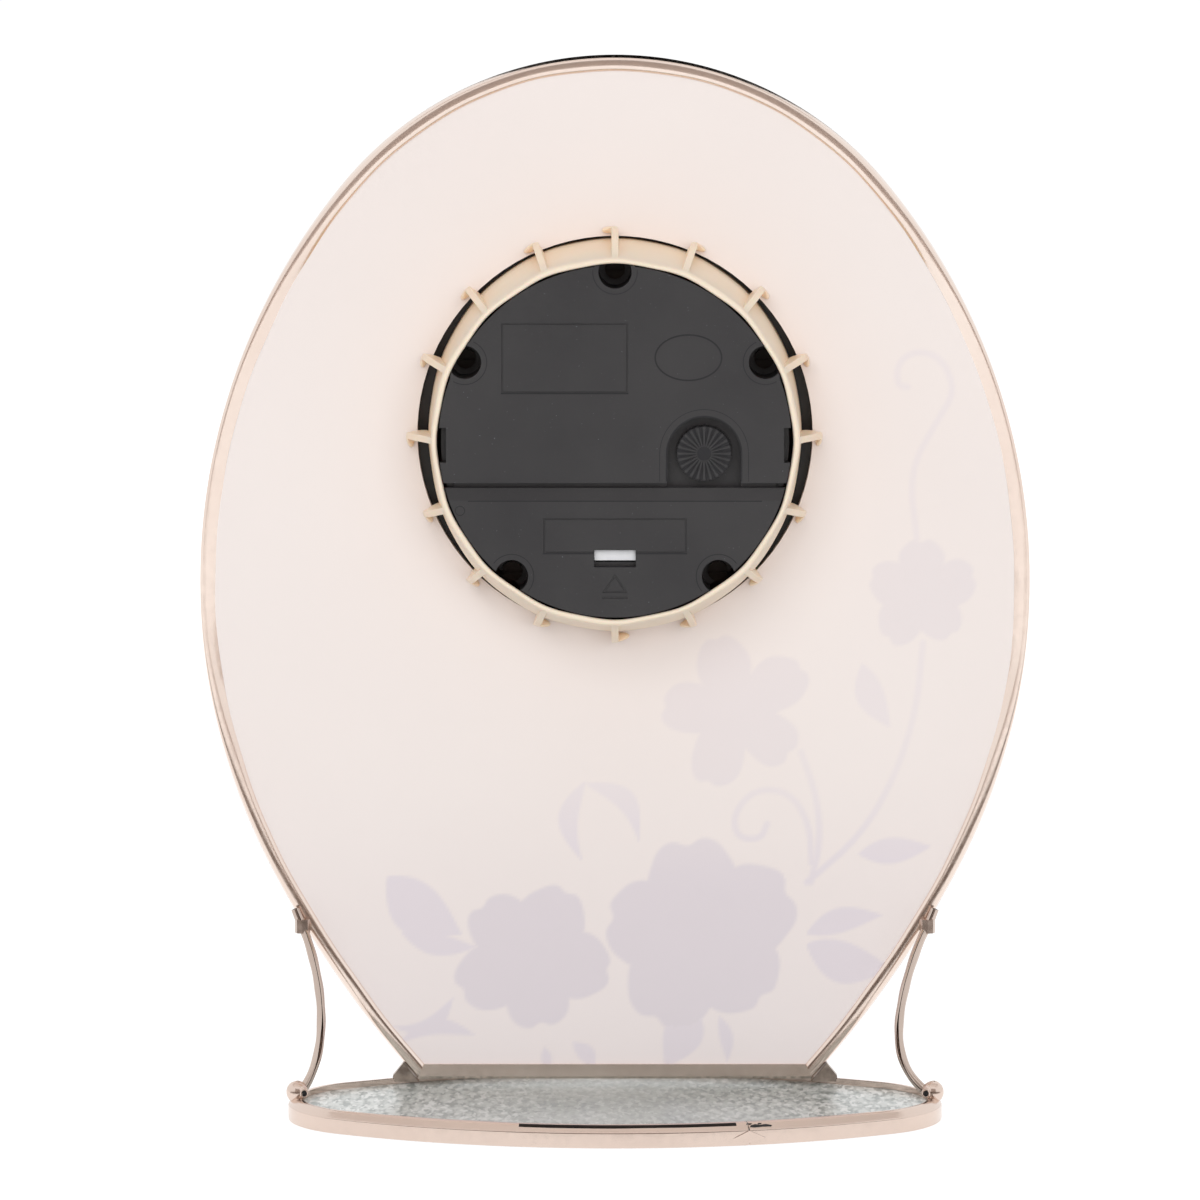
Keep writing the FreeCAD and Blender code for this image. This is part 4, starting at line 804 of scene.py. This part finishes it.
def foot_beads():
    """Round beads of solder where the supports stand on the rim, each with the cut end of the tube in it, its mouth a
    black disc of painted shade.
    """
    points = []
    faces = []
    rows, columns, tube_sides = 14, 24, 16
    for side_sign in (-1, 1):
        centre = (side_sign * (base_half_length - bead_inset), bead_back, rim_height + bead_rise)
        start = len(points)
        for row in range(rows):
            drop = math.pi * row / (rows - 1)
            for column in range(columns):
                turn = 2 * math.pi * column / columns
                lump = 1.0 + 0.03 * math.sin(2 * turn + drop * 2)
                points.append(to_floor(
                    centre[0] + bead_reach[0] * lump * math.sin(drop) * math.cos(turn),
                    centre[1] + bead_reach[1] * lump * math.sin(drop) * math.sin(turn),
                    centre[2] + bead_reach[2] * lump * math.cos(drop),
                ))
        faces += grid_faces(rows, columns, False, True, start)
        start = len(points)
        for reach, out in ((0.5, 0.6), (0.5, 1.5), (0.62, 1.62), (0.86, 1.55), (0.9, 0.6)):
            for column in range(tube_sides):
                turn = 2 * math.pi * column / tube_sides
                points.append(to_floor(
                    centre[0] - side_sign * (1.0 + out * 0.3 + reach * math.cos(turn)),
                    centre[1] + 0.4 + out, centre[2] + 0.1 + 1.15 * reach * math.sin(turn)
                ))
        faces += grid_faces(5, tube_sides, False, True, start)
        # Painted shade inside each tube's open end: a flat black disc across its mouth.
        mouth = []
        for column in range(tube_sides):
            turn = 2 * math.pi * column / tube_sides
            mouth.append(to_floor(
                centre[0] - side_sign * (1.4 + 0.52 * math.cos(turn)), centre[1] + 1.75,
                centre[2] + 0.1 + 0.6 * math.sin(turn)
            ))
        title = "tube_mouth_left_painted_shade" if side_sign > 0 else "tube_mouth_right_painted_shade"
        new_piece(title, mouth, [tuple(range(tube_sides))], "stand", case_black_and_painted_shade, False)
    return new_piece("foot_beads", points, faces, "stand", rim_nickel_painted_reflection)


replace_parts(foot_beads(), "foot_solder")
# Dark line along the sloping edge of the rim, a painted shade of a seam
seam_shade_line = [item for item in walk([side], rim_step) if seam_shade_from < item[0][0] < seam_shade_to]
seam_shade_section = [(-1.46, 3.99), (-1.0, 3.6), (-0.92, 3.76), (-1.38, 4.17)]
seam_shade_points, seam_shade_faces = swept(seam_shade_line, seam_shade_section, to_floor, 0.0, 9)
new_piece("rim_seam_painted_shade", seam_shade_points, seam_shade_faces, "stand", dark_painted_shade_steel)


def joint_chips():
    """Dark chips of old flux beside the joint of the rim, on its sloping edge."""
    low_end, high_end = (-0.5, 3.27), (-1.25, 3.94)
    lift = 0.06
    chips = [
        [(0.25, 0.15), (1.3, 0.0), (2.6, 0.1), (4.4, 0.05), (4.6, 0.3), (3.4, 0.62), (2.3, 0.5), (1.4, 0.7),
         (0.5, 0.5)],
        [(-0.3, 0.75), (0.5, 0.7), (0.9, 0.95), (-0.2, 0.98)],
        [(1.9, 0.75), (2.6, 0.72), (2.7, 0.9), (2.0, 0.92)],
    ]
    points = []
    faces = []
    for chip in chips:
        start = len(points)
        for run, share in chip:
            out = low_end[0] + (high_end[0] - low_end[0]) * share
            level = low_end[1] + (high_end[1] - low_end[1]) * share + lift
            turn = cut_turn + math.degrees(run / side[2])
            x, y = polar(side[2] + out, turn, (side[0], side[1]))
            points.append(to_floor(x, y, level))
        faces.append(tuple(range(start, len(points))))
    new_piece("joint_chips", points, faces, "stand", case_black_and_painted_shade, False)


joint_chips()


# Gripping ring


def band_radius(turn, level, inset):
    """Radius of the ring at a turn and a level: oval at the panel, round at the back."""
    angle = math.radians(turn)
    lower = smooth_step(0.1, 0.8, -math.sin(angle))
    share = smooth_step(-glass_thickness, band_back_level, level) ** (0.8 + 2.0 * lower)
    front = band_front_upright - (band_front_upright - band_front_across) * math.cos(angle) ** 4
    flats = flat_depth * (1.0 - math.cos(fin_count * (angle - math.pi / 2))) * (0.4 + 0.6 * share)
    return front + (band_back_radius - front) * share - flats - inset


def band_body():
    """Wall of the ring with a soft lip at its back edge."""
    profile = [
        (0.0, -3.0), (0.0, 0.0), (0.0, 4.0), (0.0, 9.0), (0.0, 14.0), (0.0, 17.5), (-0.02, 18.6), (0.06, 19.3),
        (0.25, 19.85), (0.5, 19.98), (0.72, 19.7), (0.85, 19.0), (band_wall, 17.0), (band_wall, 9.0),
        (band_wall, 0.0), (band_wall, -3.0),
    ]
    count = 256
    points = []
    for number in range(count):
        turn = number * 360.0 / count
        for inset, level in profile:
            reach = band_radius(turn, level, inset)
            if level > 17.0 and inset < 0.3:
                reach += lip_spread + lip_wave * math.sin(math.radians(turn) * 7.0 + 1.0)
            x, y = polar(reach, turn)
            points.append(at(x, y, level))
    faces = grid_faces(count, len(profile), True, True)
    return new_piece("band_wall", points, faces, "stand", vinyl)


# The side to which each fin bends over, from the top one on round the ring
fin_bends = [1] * 9 + [-1] * 7


def fin_outline(root, tall, fold, half):
    """Outline of a fin seen along the axis of the ring: a rib whose outer end bends over to one side."""
    bend_run = 1.5
    straight = max(tall - 0.95, 0.15)
    line = [(root, 0.0, 0.0), (root + straight * 0.5, 0.0, 0.0), (root + straight, 0.0, 0.0)]
    out, side, _ = line[-1]
    for share in (0.33, 0.67, 1.0):
        angle = fold * share * math.pi / 2
        out += bend_run / 3 * math.cos(angle) * min(1.0, tall / 1.6)
        side += bend_run / 3 * math.sin(angle)
        line.append((out, side, angle))
    side += 1.4 * fold
    line.append((out, side, fold * math.pi / 2))
    widths = [1.0, 0.9, 0.85, 0.85, 0.85, 0.8, 0.6]
    rows = []
    for face_side in (-1, 1):
        row = [(out - face_side * half * width * math.sin(angle), side + face_side * half * width * math.cos(angle))
               for (out, side, angle), width in zip(line, widths)]
        rows.append(row)
    return rows[0] + list(reversed(rows[1]))


def band_fins():
    """Sixteen fins, high at the panel, dying out towards the back, their front ends folded over."""
    points = []
    faces = []
    stations = [0.06, 0.6, 1.3, 2.2, 3.4, 5.0, 7.5, 10.5, 13.5, 16.5, 18.9]
    for number in range(fin_count):
        turn = 90.0 + number * 360.0 / fin_count
        bend = fin_bends[number] * (0.85 + 0.3 * dice.random())
        height_share = 0.92 + 0.12 * dice.random()
        start = len(points)
        count = 0
        for level in stations:
            root = band_radius(turn, level, 0.35)
            tall = (hole_radius + band_gap - root) * (1.0 - smooth_step(2.5, 19.0, level)) * height_share
            fold = bend * (1.0 - smooth_step(0.8, 3.6, level))
            outline = fin_outline(root, max(tall, 0.5), fold, fin_half_width)
            count = len(outline)
            for out, side in outline:
                reach = min(math.hypot(out, side), hole_radius + fin_reach_over)
                x, y = polar(reach, turn + math.degrees(math.atan2(side, out)))
                points.append(at(x, y, level))
        faces += closed_rod(len(stations), count, start)
    piece = new_piece("band_fins", points, faces, "stand", vinyl)
    sub = piece.modifiers.new("soft_edges", "SUBSURF")
    sub.levels = 1
    sub.render_levels = 2


ring_wall = band_body()
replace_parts(ring_wall, "mounting_band")
band_fins()


# Back cover details, their grooves and edges drawn as flat lines of painted shade


def oval_line(name, centre, wide, tall, width, count, body):
    """Thin flat line round an oval, lying on the cover or the door, painted dark as the shade of a groove."""
    points = []
    for inset in (0.0, 2 * width):
        for index in range(count):
            turn = 2 * math.pi * index / count
            x = centre[0] + (wide - inset) / 2 * math.cos(turn)
            y = centre[1] + (tall - inset) / 2 * math.sin(turn)
            points.append(at(x, y, mark_level))
    faces = []
    for index in range(count):
        after = (index + 1) % count
        faces.append((index, after, count + after, count + index))
    new_piece(name, points, faces, body, painted_groove_shade, False)


def open_line(name, corners, width, body):
    """Thin flat line through some corners, lying on the cover or the door, painted dark as the shade of a groove or an
    edge.
    """
    points = []
    faces = []
    for number, (x, y) in enumerate(corners):
        before = corners[max(number - 1, 0)]
        after = corners[min(number + 1, len(corners) - 1)]
        run = math.hypot(after[0] - before[0], after[1] - before[1])
        off_x = -(after[1] - before[1]) / run * width / 2
        off_y = (after[0] - before[0]) / run * width / 2
        points += [at(x + off_x, y + off_y, mark_level), at(x - off_x, y - off_y, mark_level)]
    for number in range(len(corners) - 1):
        low = number * 2
        faces.append((low, low + 1, low + 3, low + 2))
    new_piece(name, points, faces, body, painted_groove_shade, False)


# Painted shade of the engraved oval and of the edge and step round the knob's recess.
oval_line("mark_oval_line", (13.7, 15.8), 12.7, 8.8, 0.3, 72, "stand")
for title, reach, width in (("arch_edge_line", 7.0, 0.3), ("arch_step_line", 8.3, 0.12)):
    arch_line = [(knob_centre[0] - reach, knob_foot)]
    arch_line += [polar(reach, 180.0 - 7.5 * index, knob_centre) for index in range(25)]
    arch_line += [(knob_centre[0] + reach, knob_foot)]
    open_line(title, arch_line, width, "stand")
# Painted shadow under the lower edges of the name plate and the door plate.
for title, corners, width, body in (
    ("plate_low_edge", [(-21.3, 9.1), (2.5, 9.1)], 0.26, "stand"),
    ("door_plate_edge_left", [(-13.5, -20.95), (-4.0, -20.95)], 0.24, "door"),
    ("door_plate_edge_right", [(4.0, -20.95), (13.5, -20.95)], 0.24, "door"),
):
    open_line(title, corners, width, body)
# Pale strip that shows in the door's window, a painted highlight standing in for the bright cell behind it, set in the
# door's own thickness so that it leaves with the door
new_piece(
    "window_painted_highlight",
    [at(-3.85, -20.35, 18.0), at(3.85, -20.35, 18.0), at(3.85, -22.35, 17.9), at(-3.85, -22.35, 17.9)],
    [(0, 1, 2, 3)], "door", cell_sleeve_and_painted_highlight
)
# Painted shade of the step along the door and of its small round mark.
open_line("door_step_line", [(-27.5, -11.1), (27.5, -11.1)], 0.2, "door")
oval_line("door_round_mark", (-29.0, -12.9), 1.9, 1.9, 0.15, 24, "door")
# Rings of painted shade round the screw wells, as far as they lie on the cover or, for the two lower ones, on the door
for number, ring_turn in enumerate((0.0, 62.0, 142.5, -142.5, -62.0), 1):
    place = polar(screw_circle, 90.0 + ring_turn)
    body = "door" if number in (3, 4) else "stand"
    row = []
    for index in range(61):
        spot = polar(well_ring_radius, 6.0 * index, place)
        if math.hypot(*spot) < mark_edge_radius and (body == "door") == (spot[1] < mark_door_top):
            row.append((math.atan2(spot[1] - place[1], spot[0] - place[0]), spot))
    inward = math.atan2(-place[1], -place[0])
    row.sort(key=lambda item: math.remainder(item[0] - inward, 2 * math.pi))
    open_line("well_ring_%d" % number, [spot for _, spot in row], 0.16, body)


def knob_ridges():
    """Thin ribs that spread from the middle of the setting knob like rays, over a face painted dark as the shade
    between them.
    """
    count = 24
    edge_count = 48
    # Painted shade between the ribs: a flat dark disc under them.
    edge = [at(*polar(knob_face_radius, 7.5 * index, knob_centre), knob_level) for index in range(edge_count)]
    new_piece("knob_face", edge, [tuple(range(edge_count))], "knob_set", painted_groove_shade, False)
    points = []
    faces = []
    profile = [(1.3, 0.02), (2.2, 0.3), (3.6, 0.36), (4.8, 0.34), (5.15, 0.1), (5.24, -2.2)]
    for number in range(count):
        turn = number * 360.0 / count
        way_x, way_y = polar(1.0, turn + 90.0)
        start = len(points)
        for reach, lift in profile:
            x, y = polar(reach, turn, knob_centre)
            width = 0.1 + 0.3 * reach / 5.2
            for sweep, share in ((-1.0, 0.0), (-0.5, 0.8), (0.0, 1.0), (0.5, 0.8), (1.0, 0.0)):
                height = knob_level + (lift * share if lift > 0.0 else lift)
                points.append(at(x + way_x * sweep * width, y + way_y * sweep * width, height))
        faces += grid_faces(len(profile), 5, False, False, start)
    new_piece("knob_ridges", points, faces, "knob_set", cover_plastic)


knob_ridges()


# Dial numbers


def dial_numbers():
    """Plain numbers printed on the dial, read from the front."""
    for hour in range(1, 13):
        title = "numeral_%02d" % hour
        curve = bpy.data.curves.new(title, "FONT")
        curve.body = str(hour)
        curve.size = numeral_size * mm
        curve.align_x = "CENTER"
        curve.align_y = "CENTER"
        curve.extrude = numeral_depth * mm
        shape = placed(title, curve)
        x, y = polar(numeral_radius, 90.0 + hour * 30.0)
        shape.location = at(x, y, dial_level - 0.03)
        shape.rotation_euler = (math.radians(90.0), 0.0, 0.0)
        bpy.context.view_layer.update()
        mesh = bpy.data.meshes.new_from_object(shape)
        mesh.transform(shape.matrix_world)
        bpy.data.objects.remove(shape)
        piece = placed(title, mesh)
        mesh.materials.clear()
        mesh.materials.append(hand_paint)
        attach(piece, "stand")


dial_numbers()


# Stage, light and camera


def background_mix(tree):
    """1 for rays that should see the white background."""
    rays = add(tree, "ShaderNodeLightPath", {}, {})
    first = add(tree, "ShaderNodeMath", {"operation": "MAXIMUM"}, {
        0: rays.outputs["Is Camera Ray"], 1: rays.outputs["Is Glossy Ray"]
    })
    second = add(tree, "ShaderNodeMath", {"operation": "MAXIMUM"}, {
        0: first.outputs[0], 1: rays.outputs["Is Transmission Ray"]
    })
    return second.outputs[0]


def flat_sheet(name, low, high):
    """Rectangle between two opposite corners, upright or level."""
    mesh = bpy.data.meshes.new(name)
    mesh.from_pydata([low, (high[0], low[1], low[2]), high, (low[0], high[1], high[2])], [], [(0, 1, 2, 3)])
    return placed(name, mesh)


def make_floor():
    """Wide white table top that keeps the shadow of the clock."""
    floor = flat_sheet("floor", (-30.0, -30.0, 0.0), (30.0, 30.0, 0.0))
    material, tree, _ = start_material("floor_paper")
    paper = add(tree, "ShaderNodeBsdfDiffuse", {}, {"Color": (0.8, 0.8, 0.8, 1.0)})
    seen = add(tree, "ShaderNodeBsdfDiffuse", {}, {"Color": (0.3, 0.3, 0.3, 1.0)})
    glow = add(tree, "ShaderNodeEmission", {}, {"Color": (1.0, 1.0, 1.0, 1.0), "Strength": 0.86})
    both = add(tree, "ShaderNodeAddShader", {}, {0: seen.outputs[0], 1: glow.outputs[0]})
    shader = add(tree, "ShaderNodeMixShader", {}, {0: background_mix(tree), 1: paper.outputs[0], 2: both.outputs[0]})
    floor.data.materials.append(finish_material(material, shader))


def make_world():
    """Even white surroundings."""
    world = bpy.data.worlds.new("studio")
    bpy.context.scene.world = world
    world.use_nodes = True
    tree = world.node_tree
    tree.nodes.clear()
    soft = add(tree, "ShaderNodeBackground", {}, {"Color": (1.0, 1.0, 1.0, 1.0), "Strength": 0.56})
    white = add(tree, "ShaderNodeBackground", {}, {"Color": (1.0, 1.0, 1.0, 1.0), "Strength": 1.0})
    mix = add(tree, "ShaderNodeMixShader", {}, {0: background_mix(tree), 1: soft.outputs[0], 2: white.outputs[0]})
    add(tree, "ShaderNodeOutputWorld", {}, {"Surface": mix.outputs[0]})


def make_lamp(name, place, size, power):
    """Soft square white lamp aimed at the clock."""
    data = bpy.data.lights.new(name, "AREA")
    data.size = size
    data.energy = power
    lamp = placed(name, data)
    lamp.location = place
    lamp.visible_glossy = False
    lamp.rotation_euler = (Vector(lamp_target) - Vector(place)).to_track_quat("-Z", "Y").to_euler()


def make_card(name, low, high, code):
    """Coloured card out of view that gives the metal something to mirror."""
    card = flat_sheet(name, low, high)
    material, tree, place = start_material(name + "_paint")
    shader = add(tree, "ShaderNodeBsdfDiffuse", {}, {"Color": mottled(tree, place, 3.0, 0.3, 0.7, code, code)})
    card.data.materials.append(finish_material(material, shader))
    card.visible_camera = False
    card.visible_diffuse = False
    card.visible_transmission = False
    card.visible_shadow = False


def make_camera():
    """View from behind the clock, a little above it."""
    data = bpy.data.cameras.new("camera")
    data.lens = camera_lens
    data.sensor_width = 36.0
    data.shift_x = camera_shift
    data.clip_end = 100.0
    camera = placed("camera", data)
    camera.location = camera_place
    camera.rotation_euler = (math.radians(camera_tilt), 0.0, math.radians(180.0))
    bpy.context.scene.camera = camera


make_floor()
make_world()
make_lamp("key", (0.4, 1.65, 0.85), 1.0, 9.6)
make_lamp("fill", (-0.5, 1.6, 0.42), 0.7, 5.4)
make_lamp("front", (0.3, -1.6, 0.8), 1.0, 11.0)
make_card("low_card", (-0.6, 0.1, 0.0), (0.6, 0.1, 0.034), "#8C8078")
make_card("mauve_card", (-0.7, 1.38, 0.0), (0.7, 1.38, 1.3), "#C9BCB5")
make_card("over_card", (-1.0, -0.6, 1.4), (1.0, 0.7, 1.4), "#FFF9F5")
make_card("dark_card", (-0.105, -0.25, 0.203), (0.07, -0.25, 0.9), "#0C0A09")
make_camera()
bpy.context.scene.view_settings.view_transform = "Standard"
